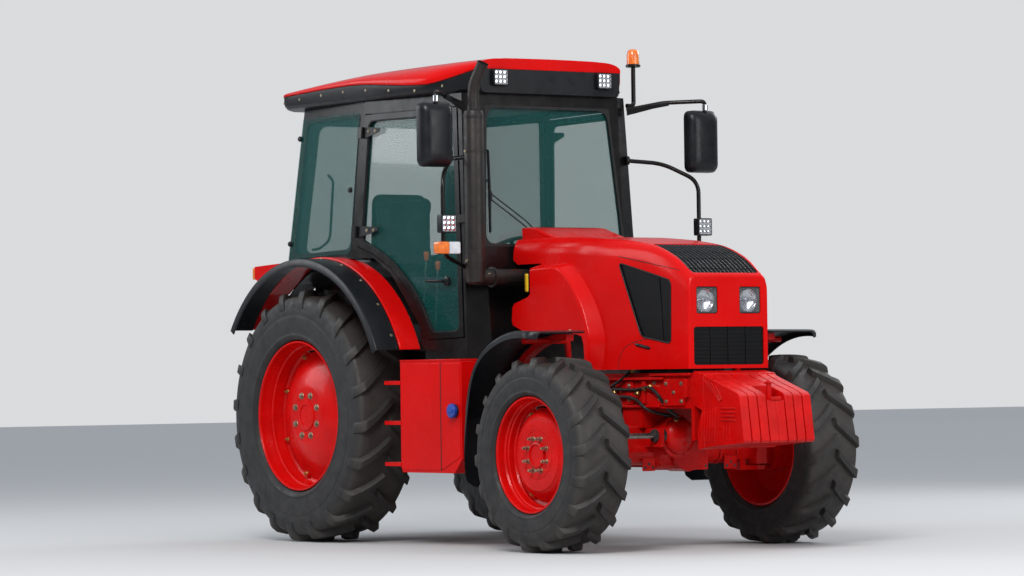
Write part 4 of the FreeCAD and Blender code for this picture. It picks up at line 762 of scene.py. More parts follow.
tools = [(flankBlock(1, 0), "UNION"), (flankBlock(-1, 0), "UNION"), (inside, "DIFFERENCE"),
         (flankBlock(1, skin), "DIFFERENCE"), (flankBlock(-1, skin), "DIFFERENCE"),
         (outlineCut, "INTERSECT"), (sideCut, "DIFFERENCE"), (topCut, "DIFFERENCE"), (frontCut, "DIFFERENCE")]
for y in headlight["rights"]:
    window = frontRectangle(2.97, y, y + headlight["size"], headlight["low"],
                            headlight["low"] + headlight["size"], 0.014)
    tools.append((cutter("lampCut", window, forward * 0.1), "DIFFERENCE"))
carve(shell, tools)
shell.data.set_sharp_from_angle(angle=radians(26))
even = shell.modifiers.new("even", "WEIGHTED_NORMAL")
even.keep_sharp = True

bm = bmesh.new()
slab(bm, [at(1.400, 0.267, 1.786), at(1.400, 0.262, 1.868), at(1.515, 0.262, 1.868), at(1.738, 0.265, 1.800),
          at(1.738, 0.267, 1.786)], left * -0.529)
piece("cowlBox", bm, "hood", "bodyRed", bevel=0.012, segments=3)
bm = bmesh.new()
slab(bm, flatRectangle(1.868, 1.402, 1.512, 0.225, -0.225), up * 0.0022)
piece("cowlCover", bm, "hood", "plastic", bevel=0.001)


def flankPoint(x, z, side, out=0.0):
    # a point on the hood's side surface
    low, shoulder, level, flat, top = curveThrough(hoodTable, x)
    share = (z - hood["foot"]) / (level - hood["foot"])
    if share <= 1:
        y = low + (shoulder - low) * share
    else:
        turn = asin(pad(0, 1, (z - level) / (top - level)))
        y = flat + (shoulder - flat) * cos(turn)
    return at(x, side * (y + flankRise(x, z, y) + out), z)


def flankLine(first, last, parts, side, out):
    # a straight line laid on the hood's side, as a list of points
    spots = [first.lerp(last, step / parts) for step in range(parts + 1)]
    return [flankPoint(spot.x, spot.z, side, out) for spot in spots]


# Grilles: a ribbed sheet on top, flat sheets at the sides and in front, thin bars
grille = dict(back=2.628, length=0.388, half=0.247, folds=17, foldParts=8, face=3.022, low=1.040, top=1.259)
bm = bmesh.new()
rows = []
for step in range(25):
    x = grille["back"] + grille["length"] * step / 24
    top = curveThrough(hoodTable, x)[4]
    row = []
    across = grille["folds"] * grille["foldParts"]
    for count in range(across + 1):
        wave = abs(sin(pi * count / grille["foldParts"]))
        row.append(at(x, grille["half"] * (2 * count / across - 1), top - 0.0125 + 0.0105 * wave ** 0.7))
    rows.append(row)
loft(bm, rows)
for side in (-1, 1):
    rows = []
    for step in range(13):
        share = step / 12
        low = Vector((2.600 + 0.285 * share, 0, 1.200 - 0.045 * share))
        high = Vector((2.412 + 0.478 * share, 0, 1.645 - 0.115 * share))
        rows.append(flankLine(low, high, 12, side, -0.0055))
    loft(bm, rows)
slab(bm, frontRectangle(grille["face"], -0.252, 0.252, grille["low"], grille["top"]), forward * 0.002)
piece("meshSheets", bm, "hood", "mesh", ("grille_panels",), smooth=50)
bm = bmesh.new()
barX = grille["face"] + 0.0045
for number in range(9):
    z = 1.058 + 0.0228 * number
    beam(bm, at(barX, -0.247, z), at(barX, 0.247, z), 0.004, 0.0040)
for y in (-0.125, 0.0, 0.125):
    beam(bm, at(barX, y, 1.045), at(barX, y, 1.255), 0.005, 0.007, left)
for x in (2.700, 2.790, 2.880, 2.970):
    top = curveThrough(hoodTable, x)[4]
    beam(bm, at(x, -0.240, top - 0.0045), at(x, 0.240, top - 0.0045), 0.005, 0.004)
piece("grilleBars", bm, "hood", "mesh", bevel=0.001)

bm = bmesh.new()
for side in (-1, 1):
    loop = rounded([Vector((x, 0, z)) for x, z in [sideMesh[-1]] + sideMesh + sideMesh[:1]], 0.032, 6)[1:-1]
    line = []
    for first, second in zip(loop, loop[1:] + loop[:1]):
        line += flankLine(first, second, 5, side, 0.0005)[:-1]
    sweep(bm, line + line[:1], 0.0048, 8, capped=False)
    rib = flankLine(Vector((2.772, 0, 1.560)), Vector((2.800, 0, 1.190)), 9, side, -0.0035)
    sweep(bm, rib, 0.0030, 8)
piece("sideMeshFrames", bm, "hood", "plastic", smooth=60)

# Seams, slot handle and plain label on the flank
bm = bmesh.new()
for side in (-1, 1):
    for line in ([(2.672, 1.196), (2.560, 1.180), (2.470, 1.150), (2.430, 1.100), (2.415, 1.026)],
                 [(2.427, 1.668), (2.900, 1.585), (3.020, 1.555)]):
        path = rounded([Vector((x, 0, z)) for x, z in line], 0.04, 5)
        sweep(bm, [flankPoint(spot.x, spot.z, side, -0.0008) for spot in path], 0.0022, 6)
piece("hoodSeams", bm, "hood", "rubber", smooth=60)
bm = bmesh.new()
for side in (-1, 1):
    line = flankLine(Vector((2.560, 0, 1.166)), Vector((2.690, 0, 1.140)), 8, side, 0.001)
    sweep(bm, line, [0.004] + [0.009] * 7 + [0.004], 12)
piece("hoodHandles", bm, "hood", "plastic", smooth=60)
bm = bmesh.new()
loft(bm, [flankLine(Vector((x, 0, 1.485)), Vector((x, 0, 1.590)), 8, -1, 0.0012) for x in (1.640, 1.674)])
piece("plainLabel", bm, "hood", "yellow", thick=0.0008)

# Headlights: dark frame, round reflector with its lamp, clear pane
bezel, glow, pane = (bmesh.new() for number in range(3))
for y in headlight["rights"]:
    half = headlight["size"] / 2
    centre = at(headlight["face"], y + half, headlight["low"] + half)
    hub = at(headlight["back"], y + half, 1.404)
    outer = frontRectangle(headlight["face"], y + 0.002, y + 0.150, 1.332, 1.480, 0.014, 4)
    innerRing = [centre.lerp(corner, headlight["dark"]) for corner in outer]
    deepRing = [corner - forward * 0.030 for corner in innerRing]
    frontRing = [corner + forward * 0.012 for corner in outer]
    faceRing = [corner + forward * 0.012 for corner in innerRing]
    backRing = [corner - forward * 0.034 for corner in outer]
    loft(bezel, [backRing, frontRing, faceRing, deepRing], capped=True, around=True)
    bowl = [(0.067, 0.016)] + arcPairs(12, 0, pi / 2, 0.0645, -0.018, along=0.014)
    spin(glow, bowl, hub, forward, 40)
    spin(glow, [(0.0105, -0.003), (0.0105, 0.013), (0.006, 0.016), (0, 0.016)], hub, forward, 16)
    for out in spokes(4, left, up, 0.5):
        spot = hub + forward * 0.003 + out * 0.058
        beam(glow, spot - out * 0.010, spot + out * 0.014, 0.040, 0.003, forward)
    slab(pane, [corner + forward * 0.001 for corner in faceRing], forward * -0.003)
piece("headlightBezels", bezel, "hood", "darkPlastic", ("headlights",), bevel=0.002)
piece("headlightBowls", glow, "hood", "reflector", smooth=30)
piece("headlightPanes", pane, "hood", "lens")
print("hood")


# Roof

roof = dict(rear=-0.700, front=1.345, bandLow=2.6703, bolts=(-0.52, -0.30, -0.05, 0.20, 0.45, 0.70, 0.95, 1.15))
# columns: x, half width, lower edge, half width of the top, crown
roofTable = [
    (-0.700, 0.560, 2.735, 0.470, 2.755),
    (-0.460, 0.745, 2.755, 0.620, 2.797),
    (0.300, 0.745, 2.777, 0.600, 2.855),
    (1.045, 0.705, 2.735, 0.560, 2.875),
    (1.345, 0.520, 2.820, 0.470, 2.883),
]


def roofRow(x):
    half, edge, shoulder, crown = curveThrough(roofTable, x)
    level = shoulder * 0.80
    foot = edge + 0.004
    points = [(half - 0.014, edge - 0.006), (half - 0.003, edge - 0.004), (half, foot)]
    for step in range(1, 13):
        share = step / 12
        turn = pi / 2 * share
        y = level + (half - level) * cos(turn)
        points.append((y, foot + (crown - 0.008 - foot) * sin(turn) ** 0.9))
    for step in range(1, 8):
        y = level * (1 - step / 8)
        points.append((y, crown - 0.008 + 0.006 * (1 - (y / shoulder) ** 2)))
    row = [at(x, y, z) for y, z in points] + [at(x, 0, crown - 0.002)]
    row += [at(x, -y, z) for y, z in reversed(points)]
    return row


bm = bmesh.new()
length = roof["front"] - roof["rear"]
rows = [roofRow(roof["rear"] + length * (step / 60)) for step in range(61)]
for corner in rows[0]:
    corner.z -= 0.004
loft(bm, rows, capped=True, around=True)
piece("roofSkin", bm, "chassis", "bodyRed", ("roof_cap",), bevel=0.004, segments=2)

bm = bmesh.new()
rows = []
for step in range(49):
    x = roof["rear"] + 0.060 + (length - 0.060) * step / 48
    half, edge, shoulder, crown = curveThrough(roofTable, x)
    low = roof["bandLow"]
    points = [(half - 0.050, low), (half - 0.030, low + 0.004), (half - 0.012, low + 0.022),
              (half - 0.006, edge - 0.030), (half - 0.006, edge - 0.0065)]
    rows.append([at(x, y, z) for y, z in points] + [at(x, -y, z) for y, z in reversed(points)])
loft(bm, rows, capped=True, around=True)
visor = [(1.225, 2.686), (1.338, 2.686), (1.340, 2.808), (1.225, 2.776)]
slab(bm, sideOutline(-0.490, visor, 0.010, 3), left * 0.98)
piece("roofBand", bm, "chassis", "plastic", ("roof_band",), bevel=0.004, segments=2)
bm = bmesh.new()
for side in (-1, 1):
    for x in roof["bolts"]:
        half, edge, shoulder, crown = curveThrough(roofTable, x)
        bolt(bm, at(x, side * (half - 0.008), edge - 0.038), left * side, 0.0075, 0.005)
piece("roofBolts", bm, "chassis", "boltMetal", smooth=30)
print("roof")


# Mudguards


def arcRows(bm, centre, angles, section, capped=True):
    # a cross-section of radius and side pairs bent round an axis along y
    rows = []
    for angle in angles:
        turn = radians(angle)
        rows.append([centre + Vector((radius * cos(turn), across, radius * sin(turn)))
                     for radius, across in section])
    loft(bm, rows, capped=capped, around=True)


guard = dict(x=0.060, first=24, sweep=122, inner=0.6905, seam=0.835, outer=1.000, radius=0.9555)
rearArch = at(guard["x"], 0, wheels["rear"]["z"])
bm = bmesh.new()
for side in (-1, 1):
    section = [(0.938, side * 0.549), (0.938, side * 0.690), (0.946, side * 0.690), (0.946, side * 0.549)]
    arcRows(bm, rearArch, [104 + 42 * step / 14 for step in range(15)], section)
piece("guardLiners", bm, "chassis", "cabBlack", smooth=40)
angles = [guard["first"] + guard["sweep"] * step / 60 for step in range(61)]
under = guard["radius"]
low, high = guard["inner"], guard["seam"] - 0.0005
redSection = [(under, low), (under, high), (under + 0.0045, high), (under + 0.011, high - 0.004),
              (under + 0.011, low)]
# from the wall of the cab to the lamps, as x and z
redTail = [(0.060, 1.7125), (-0.100, 1.7125), (-0.220, 1.6985), (-0.520, 1.520), (-0.655, 1.602),
           (-0.698, 1.622), (-0.700, 1.694), (-0.690, 1.698), (-0.500, 1.706), (-0.20, 1.716), (0.060, 1.719)]
bm = bmesh.new()
for side in (-1, 1):
    arcRows(bm, rearArch, angles, [(radius, side * across) for radius, across in redSection])
    slab(bm, sideOutline(side * low, redTail), left * side * (high - low))
piece("redGuards", bm, "chassis", "bodyRed", ("rear_mudguards",), bevel=0.002)
low, high = guard["seam"] + 0.0005, guard["outer"]
flareSection = [(under - 0.008, low), (under - 0.008, high - 0.012), (under - 0.0505, high - 0.008),
                (under - 0.0505, high), (under - 0.0105, high), (under - 0.0035, high - 0.004),
                (under, high - 0.014), (under, low)]
bm = bmesh.new()
for side in (-1, 1):
    arcRows(bm, rearArch, angles, [(radius, side * across) for radius, across in flareSection])
piece("guardFlares", bm, "chassis", "plastic", ("mudguard_extensions",), bevel=0.002)
bm = bmesh.new()
for side in (-1, 1):
    for angle in range(30, 144, 14):
        turn = radians(angle)
        out = forward * cos(turn) + up * sin(turn)
        bolt(bm, rearArch + out * (under + 0.0003) + left * side * 0.862, out, 0.008, 0.005)
piece("flareBolts", bm, "chassis", "boltMetal", smooth=30)

frontGuard = dict(first=80, sweep=116, inner=0.640, outer=1.045, radius=0.690,
                  bolts=(92, 112, 132, 152, 172, 188))
frontArch = at(wheels["front"]["x"], 0, wheels["front"]["z"])
for side, hand in ((-1, "right"), (1, "left")):
    bm = bmesh.new()
    rows = []
    under = frontGuard["radius"]
    for step in range(49):
        angle = frontGuard["first"] + frontGuard["sweep"] * step / 48
        turn = radians(angle)
        # both ends are rounded off, the outer edge draws in and the hem fades towards the rear
        close = min(angle - frontGuard["first"], frontGuard["first"] + frontGuard["sweep"] - angle)
        inset = 0.045 * (1 - sqrt(1 - (1 - pad(0, 5, close)) ** 2))
        inner = frontGuard["inner"] + inset
        edge = frontGuard["outer"] - 0.095 * eased(pad(118, 176, angle)) - inset
        hem = 1 - 0.8 * eased(pad(150, 185, angle))
        section = [(under, inner), (under, 0.80), (under, edge - 0.025), (under - 0.016 * hem, edge - 0.011),
                   (under - 0.034 * hem, edge - 0.007), (under - 0.034 * hem, edge),
                   (under - 0.010 * hem, edge - 0.002), (under + 0.007, edge - 0.019), (under + 0.008, 0.80),
                   (under + 0.008, inner)]
        rows.append([frontArch + Vector((radius * cos(turn), side * across, radius * sin(turn)))
                     for radius, across in section])
    loft(bm, rows, capped=True, around=True)
    arcRows(bm, frontArch, [85 + 65 * step / 20 for step in range(21)],
            [(0.678, side * 0.705), (under, side * 0.705), (under, side * 0.745), (0.678, side * 0.745)])
    body = "%s_knuckle" % hand
    piece("%sGuard" % hand, bm, body, "plastic", ("front_mudguard_%s" % hand,), smooth=40)
    bm = bmesh.new()
    for angle in frontGuard["bolts"]:
        turn = radians(angle)
        out = forward * cos(turn) + up * sin(turn)
        bolt(bm, frontArch + out * (under + 0.008) + left * side * 0.665, out, 0.008, 0.005)
    piece("%sGuardBolts" % hand, bm, body, "boltMetal", smooth=30)
print("mudguards")


# Side boxes and steps

box = dict(back=1.000, front=1.640, inner=0.560, outer=0.880, low=0.434, lid=1.088, lidTall=0.009)
stepPlate = dict(back=0.830, front=1.010, inner=0.620, levels=(0.974, 0.737, 0.493), rim=0.024, ribs=7)
bm = bmesh.new()
trim = bmesh.new()
for side in (-1, 1):
    outer = side * box["outer"]
    y0, y1 = side * box["inner"], outer - side * 0.004
    back, front, low = box["back"], box["front"], box["low"]
    profile = [(back, low + 0.036), (back + 0.016, low), (front - 0.080, low), (front, 0.520), (front, 1.085),
               (front - 0.010, 1.091), (back, 1.091)]
    slab(bm, sideOutline(y0, profile), left * (y1 - y0))
    slab(bm, flatRectangle(box["lid"], back, front, side * 0.556, outer), up * box["lidTall"])
    y = outer - side * 0.006
    for x0, x1, low in ((1.012, 1.424, 0.450), (1.432, 1.628, 0.530)):
        panel = [(x0, 0.450), (x1, low), (x1, 1.074), (x0, 1.074)]
        slab(bm, sideOutline(y, panel, 0.014, 4), left * side * 0.006)
    for level in stepPlate["levels"]:
        back, front, low = stepPlate["back"], stepPlate["front"], level - stepPlate["rim"]
        tread = flatRectangle(level - 0.008, back, front, side * stepPlate["inner"], outer, 0.02, 4)
        slab(bm, tread, up * 0.005)
        for y in (stepPlate["inner"] + 0.002, box["outer"] - 0.004):
            slab(bm, sideRectangle(side * y, back + 0.002, front - 0.005, low, level), left * side * 0.004)
        slab(bm, sideRectangle(side * 0.624, back, back + 0.004, low, level), left * side * 0.254)
        for number in range(stepPlate["ribs"]):
            x = back + 0.022 * (number + 1)
            rib = flatRectangle(level - 0.003, x, x + 0.007, side * 0.640, side * 0.862)
            slab(trim, rib, up * 0.0028)
    brick(bm, 1.100, 1.320, side * 0.190, side * 0.560, 0.997, 1.037)
piece("sideBoxes", bm, "chassis", "bodyRed", ("side_boxes",), bevel=0.005, segments=2)
piece("stepTreads", trim, "chassis", "boltMetal", bevel=0.0008)
filler = dict(x=1.577, z=0.796, radius=0.041, ribs=12)
bm = bmesh.new()
cap = bmesh.new()
for side in (-1, 1):
    neck = at(filler["x"], side * (box["outer"] - 0.001), filler["z"])
    spin(bm, [(0.040, 0.0), (0.038, 0.005), (0.031, 0.006), (0.031, 0.014), (0, 0.014)], neck, left * side, 32)
    y0, y1 = side * 0.876, side * (box["outer"] - 0.0005)
    brick(bm, 1.424, 1.432, y0, y1, 0.450, 1.074)
    brick(bm, 1.140, 1.215, y0, y1, 0.700, 0.716)
neck = at(filler["x"], -box["outer"], filler["z"])
radius = filler["radius"]
spin(cap, [(0.036, 0.010), (radius, 0.012), (radius, 0.030), (0.037, 0.034), (0.022, 0.035), (0, 0.035)],
     neck, -left, 28)
for out in spokes(filler["ribs"], forward, up):
    spot = neck + out * (radius - 0.0005)
    beam(cap, spot - left * 0.013, spot - left * 0.030, 0.006, 0.005, out)
spot = neck - left * 0.036
beam(cap, spot + forward * 0.028, spot - forward * 0.028, 0.012, 0.008, left)
piece("boxDetails", bm, "chassis", "plastic", smooth=30)
piece("fillerCap", cap, "chassis", "blue", smooth=30)
print("side boxes")


# Ballast

ballast = dict(back=3.031, half=0.255, slabs=8, gap=0.0072, slot=3.441, pin=3.382)
bm = bmesh.new()
trim = bmesh.new()
outline = [(3.122, 0.990), (3.150, 0.975), (3.418, 0.884), (3.438, 0.866), (3.472, 0.620), (3.462, 0.608),
           (3.120, 0.580)]
slotted = outline[:2] + [(3.300, 0.924), (3.302, 0.842), (ballast["slot"], 0.842)] + outline[4:]
half = ballast["half"]
wide = 2 * half / ballast["slabs"]
for number in range(ballast["slabs"]):
    y0 = -half + wide * number + ballast["gap"] / 2
    y1 = y0 + wide - ballast["gap"]
    # the two in the middle carry the towing slot and nearly touch
    if number == 3:
        y1 = -0.0005
    if number == 4:
        y0 = 0.0005
    profile = slotted if number in (3, 4) else outline
    slab(bm, sideOutline(y0, profile), left * (y1 - y0))
carrier = [(ballast["back"], 1.009), (3.123, 0.994), (3.123, 0.576), (3.066, 0.571), (3.056, 0.674),
           (3.102, 0.789), (ballast["back"], 0.815)]
slab(bm, sideOutline(-half, carrier), left * 2 * half)
ribs = []  # from x and z to x and z, in four groups, each with its shift from rib to rib
for count, first, shift in (
        (4, (3.118, 0.966, 3.262, 0.836), (0.036, -0.012, 0.008, 0.004)),
        (6, (3.105, 0.775, 3.092, 0.612), (0.024, 0.006, 0.024, 0)),
        (4, (3.270, 0.800, 3.400, 0.800), (0, -0.022, 0, -0.022)),
        (3, (3.292, 0.700, 3.300, 0.622), (0.026, 0, 0.026, 0))):
    for number in range(count):
        ribs.append([place + number * move for place, move in zip(first, shift)])
for side in (-1, 1):
    y = side * (half - 0.0015)
    for x0, z0, x1, z1 in ribs:
        beam(bm, at(x0, y, z0), at(x1, y, z1), 0.0075, 0.0060, left)
brick(bm, 3.430, 3.447, -0.036, 0.036, 0.842, 0.860)
piece("ballastSlabs", bm, "chassis", "chassisRed", ("ballast_weights",), bevel=0.0028, segments=2)
pin = at(ballast["pin"], 0, 0)
spin(trim, [(0, 0.84), (0.0148, 0.84), (0.0148, 0.944), (0.011, 0.949), (0, 0.949)], pin, up, 24)
spin(trim, [(0.0148, 0.935), (0.024, 0.936), (0.024, 0.943), (0.0148, 0.944)], pin, up, 24)
piece("towingPin", trim, "chassis", "chassisRed", smooth=30)
print("ballast")


# Exhaust

stack = dict(x=1.500, y=-0.670, radius=0.060, pipe=0.0345, wall=0.002, mouth=2.824,
             bands=(1.66, 1.74, 2.30, 2.50))
bm = bmesh.new()
x, y, radius = stack["x"], stack["y"], stack["radius"]
foot = at(x, y, 0)
spin(bm, [(0, 1.532), (0.040, 1.532), (0.055, 1.545), (radius, 1.60), (radius, 2.525), (0.054, 2.546),
          (0.036, 2.552), (0.036, 2.58)], foot, up, 40)
for level in stack["bands"]:
    spin(bm, [(radius - 0.001, level), (radius + 0.0015, level + 0.002), (radius + 0.0015, level + 0.016),
              (radius - 0.001, level + 0.018)], foot, up, 40)
for low, size in ((2.560, stack["pipe"]), (2.640, stack["pipe"] - stack["wall"])):
    line = rounded([at(x, y, low), at(x, y, 2.690), at(x + 0.072, y + 0.022, stack["mouth"])], 0.09, 8)
    sweep(bm, line, size, 24, capped=False)
line = rounded([at(x, y + 0.002, 1.575), at(x, -0.40, 1.575), at(x, -0.205, 1.575)], 0.05, 4)
sweep(bm, line, 0.048, 28)
spin(bm, [(0.048, 0.0), (0.060, 0.001), (0.060, 0.016), (0.048, 0.017)], at(x, -0.560, 1.575), left, 28)
brick(bm, 1.270, x, -0.640, -0.612, 1.902, 1.948)
piece("exhaustPipes", bm, "chassis", "exhaust", ("exhaust_stack",), smooth=35)
bm = bmesh.new()
for spot, normal in ((at(1.455, -0.612, 1.925), left), (at(1.553, y, 1.75), forward),
                     (at(1.540, -0.6, 1.592), up), (at(1.46, -0.6, 1.592), up),
                     (at(x, y - 0.0616, 1.669), -left), (at(x, y - 0.0616, 2.309), -left)):
    bolt(bm, spot, normal, 0.009, 0.007)
piece("exhaustBolts", bm, "chassis", "boltMetal", smooth=30)
print("exhaust")


# Cab: frames and seals round the openings, panes, fittings

cab = dict(floor=1.150, height=1.490, frontLean=0.120)
# one side's corners at floor level: x, y, lean of the wall after it
cabPlan = [(1.420, 0.500, 0.100), (1.360, 0.640, 0.052), (0.176, 0.760, 0.086), (-0.638, 0.700, 0.220),
           (-0.700, 0.613, 0.230)]


def meeting(lines):
    # where each line crosses the one before it, with a line as a, b and c of ax + by = c
    corners = []
    for index, (c, d, second) in enumerate(lines):
        a, b, first = lines[index - 1]
        size = a * d - b * c
        corners.append(((first * d - second * b) / size, (a * second - c * first) / size))
    return corners


def cabRing(level, out=0.0):
    # the cab's outline at a height, from the front left corner round to the front right one
    share = (level - cab["floor"]) / cab["height"]
    ring = [(x, y) for x, y, lean in cabPlan] + [(x, -y) for x, y, lean in reversed(cabPlan)]
    leans = [row[2] for row in cabPlan]
    leans += list(reversed(leans[:-1])) + [cab["frontLean"]]
    lines = []
    for (x0, y0), (x1, y1), lean in zip(ring, ring[1:] + ring[:1], leans):
        size = hypot(x1 - x0, y1 - y0)
        a, b = -(y1 - y0) / size, (x1 - x0) / size
        if a * (x0 - 0.4) + b * y0 < 0:
            a, b = -a, -b
        lines.append((a, b, a * x0 + b * y0 - lean * share + out))
    return meeting(lines)


def cabSide(x, z, side, out=0.0):
    # a point on the cab's side wall, and next one on its front or rear wall
    ring = cabRing(z, out)
    for (x0, y0), (x1, y1) in zip(ring[:4], ring[1:5]):
        if x >= x1 or x1 == ring[4][0]:
            return at(x, side * (y0 + (y1 - y0) * (x - x0) / (x1 - x0)), z)


def cabEnd(y, z, front, out=0.0):
    ring = cabRing(z, out)
    return at(ring[0][0] if front else ring[4][0], y, z)


def grown(points, distance):
    # an outline moved outward by a distance
    area = sum(a[0] * b[1] - b[0] * a[1] for a, b in zip(points, points[1:] + points[:1]))
    hand = 1 if area > 0 else -1
    lines = []
    for (x0, y0), (x1, y1) in zip(points, points[1:] + points[:1]):
        size = hypot(x1 - x0, y1 - y0)
        a, b = hand * (y1 - y0) / size, -hand * (x1 - x0) / size
        lines.append((a, b, a * x0 + b * y0 + distance))
    return meeting(lines)


def rimStrip(bm, points, wide, radius, place, deep):
    # a flat frame between an outline and a rounded one inside it, with its own thickness
    inner = [Vector((a, b, 0)) for a, b in grown(points, -wide)]
    outer = [Vector((a, b, 0)) for a, b in points]
    small = roundedOutline(inner, radius, 5)
    large = roundedOutline(outer, 0.012, 5)
    rings = [[], [], [], []]
    for one, two, oneNext, twoNext in zip(small, large, small[1:] + small[:1], large[1:] + large[:1]):
        parts = max(1, int((twoNext - two).length / 0.10))
        for step in range(parts):
            near = one.lerp(oneNext, step / parts)
            far = two.lerp(twoNext, step / parts)
            for ring, spot, out in zip(rings, (far, far, near, near), (0, deep, deep, 0)):
                ring.append(place(spot.x, spot.y, out))
    loft(bm, rings + rings[:1], around=True)


def paneOf(bm, points, radius, place, low, high):
    # a pane or plate between two distances from the wall
    outline = roundedOutline([Vector((a, b, 0)) for a, b in points], radius, 5)
    loft(bm, [[place(spot.x, spot.y, out) for spot in outline] for out in (low, high)],
         capped=True, around=True)


# outlines of the door and the rear side window as x and z; the door follows the rear wheel's arch
door = dict(arch=1.053, turns=(25, 35, 46, 57, 67), top=2.595, grip=(1.150, 1.560), hinges=(2.480, 1.880))
doorLine = [(0.372, door["top"]), (1.238, door["top"]), (1.338, 1.220)]
for angle in door["turns"]:
    turn = radians(angle)
    doorLine.append((guard["x"] + door["arch"] * cos(turn), rearArch.z + door["arch"] * sin(turn)))
doorLine.append((0.315, rearArch.z + door["arch"] * sin(radians(76))))
windowLine = [(-0.382, door["top"]), (0.316, door["top"]), (0.259, 1.765), (-0.503, 1.750)]
seals, quarter, fixed = (bmesh.new() for number in range(3))
for side, hand in ((-1, "right"), (1, "left")):
    def place(x, z, out):
        return cabSide(x, z, side, out)

    doorFrame, rubber, parts, shine = (bmesh.new() for number in range(4))
    rimStrip(doorFrame, grown(doorLine, -0.0065), 0.036, 0.050,
             lambda x, z, out: place(x, z, out + 0.0004), 0.0050)
    rimStrip(rubber, grown(doorLine, -0.041), 0.007, 0.046,
             lambda x, z, out: place(x, z, out - 0.010), 0.0125)
    # handle with its lock, knob hinges and hinge plates
    x, z = door["grip"]
    grip = [place(x, z, 0.006), place(x, z, 0.034), place(x - 0.130, z + 0.006, 0.036),
            place(x - 0.130, z + 0.006, 0.006)]
    sweep(parts, rounded(grip, 0.02, 5), [0.010] * 4 + [0.009] * 8 + [0.010] * 4, 12)
    out = (place(1.0, 1.6, 0.1) - place(1.0, 1.6, 0)).normalized()
    spin(parts, [(0.030, -0.002), (0.030, 0.010), (0.026, 0.013), (0.012, 0.013), (0.011, 0.018), (0, 0.018)],
         place(x + 0.025, z, 0.004), out, 24)
    for z, x in zip(door["hinges"], (0.380, 0.336)):
        plate = [(x, z + 0.034), (0.514, z + 0.026), (0.526, z + 0.012), (0.514, z - 0.002), (x, z - 0.036)]
        paneOf(parts, plate, 0.010, place, 0.0054, 0.012)
        for x in (0.420, 0.485):
            bolt(shine, place(x, z + 0.006, 0.012), out, 0.009, 0.006)
    body = "door_" + hand
    piece(hand + "DoorSkin", doorFrame, body, "cabBlack", bevel=0.0012, smooth=40)
    piece(hand + "DoorSeal", rubber, body, "rubber", smooth=50)
    piece(hand + "DoorFittings", parts, body, "plastic", smooth=40)
    piece("doorBolts" + hand.capitalize(), shine, body, "boltMetal", smooth=30)
    rimStrip(seals, windowLine, 0.014, 0.060, lambda x, z, out: place(x, z, out - 0.012), 0.0135)
    # the side pane laps over the rear corner post
    outer = [(-0.500, 2.606), (0.312, 2.606), (0.255, 1.752), (-0.612, 1.738)]
    paneOf(quarter, outer, 0.035, lambda x, z, out: place(max(x, cabRing(z)[3][0] + 0.004), z, out),
           0.0015, 0.0058)
    for x, z in ((-0.440, 2.488), (-0.520, 1.835), (0.236, 2.139)):
        spin(fixed, [(0.017, 0.0), (0.017, 0.010), (0.013, 0.016), (0, 0.017)], place(x, z, 0.0055), out, 18)
piece("windowSeals", seals, "chassis", "rubber", smooth=50)
piece("sidePanes", quarter, "chassis", "glass")
for name, front, half, low, high, topHalf in (("screen", True, 0.520, 1.760, 2.600, 0.455),
                                              ("rearScreen", False, 0.540, 1.760, 2.590, 0.500)):
    bm = bmesh.new()
    line = [(-half, low), (half, low), (topHalf, high), (-topHalf, high)]
    rimStrip(bm, line, 0.016, 0.07, lambda y, z, out: cabEnd(y, z, front, out - 0.012), 0.0135)
    piece(name + "Seal", bm, "chassis", "rubber", smooth=50)
for side in (-1, 1):
    bar = rounded([cabSide(-0.180, 2.250, side, -0.060), cabSide(-0.200, 2.220, side, -0.110),
                   cabSide(-0.215, 1.850, side, -0.110), cabSide(-0.330, 1.800, side, -0.100),
                   cabSide(-0.360, 1.795, side, -0.060)], 0.045, 6)
    sweep(fixed, bar, 0.0085, 12)

wiper = dict(spindle=-0.130, blade=-0.462, low=1.840, top=2.335)


def screen(y, z, out):
    return cabEnd(y, z, True, out)


# wiper: upright blade, two parallel arms, spindle cover
y = wiper["blade"]
blade = [screen(y - 0.008, 1.845, 0.010), screen(y, 2.090, 0.012), screen(y + 0.010, 2.330, 0.010)]
sweep(fixed, blade, [0.004, 0.008, 0.004], 8)
slab(fixed, [screen(-0.474, wiper["low"], 0.001), screen(-0.456, wiper["top"], 0.001),
             screen(-0.452, wiper["top"], 0.008), screen(-0.470, wiper["low"], 0.008)], left * -0.003)
for lift in (0.0, 0.036):
    arm = [screen(wiper["spindle"], 1.805 + lift, 0.005), screen(-0.200, 1.870 + lift, 0.009),
           screen(-0.460, 2.036 + lift, 0.019)]
    sweep(fixed, rounded(arm, 0.03, 4), 0.0042, 8)
beam(fixed, screen(y, 2.026, 0.018), screen(y + 0.004, 2.084, 0.018), 0.014, 0.010, forward)
spin(fixed, [(0.024, -0.004), (0.024, 0.003), (0.018, 0.006), (0, 0.006)],
     screen(wiper["spindle"], 1.822, 0.004), forward, 20)
piece("cabFittings", fixed, "chassis", "plastic", smooth=40)
print("cab")


# Inside the cab


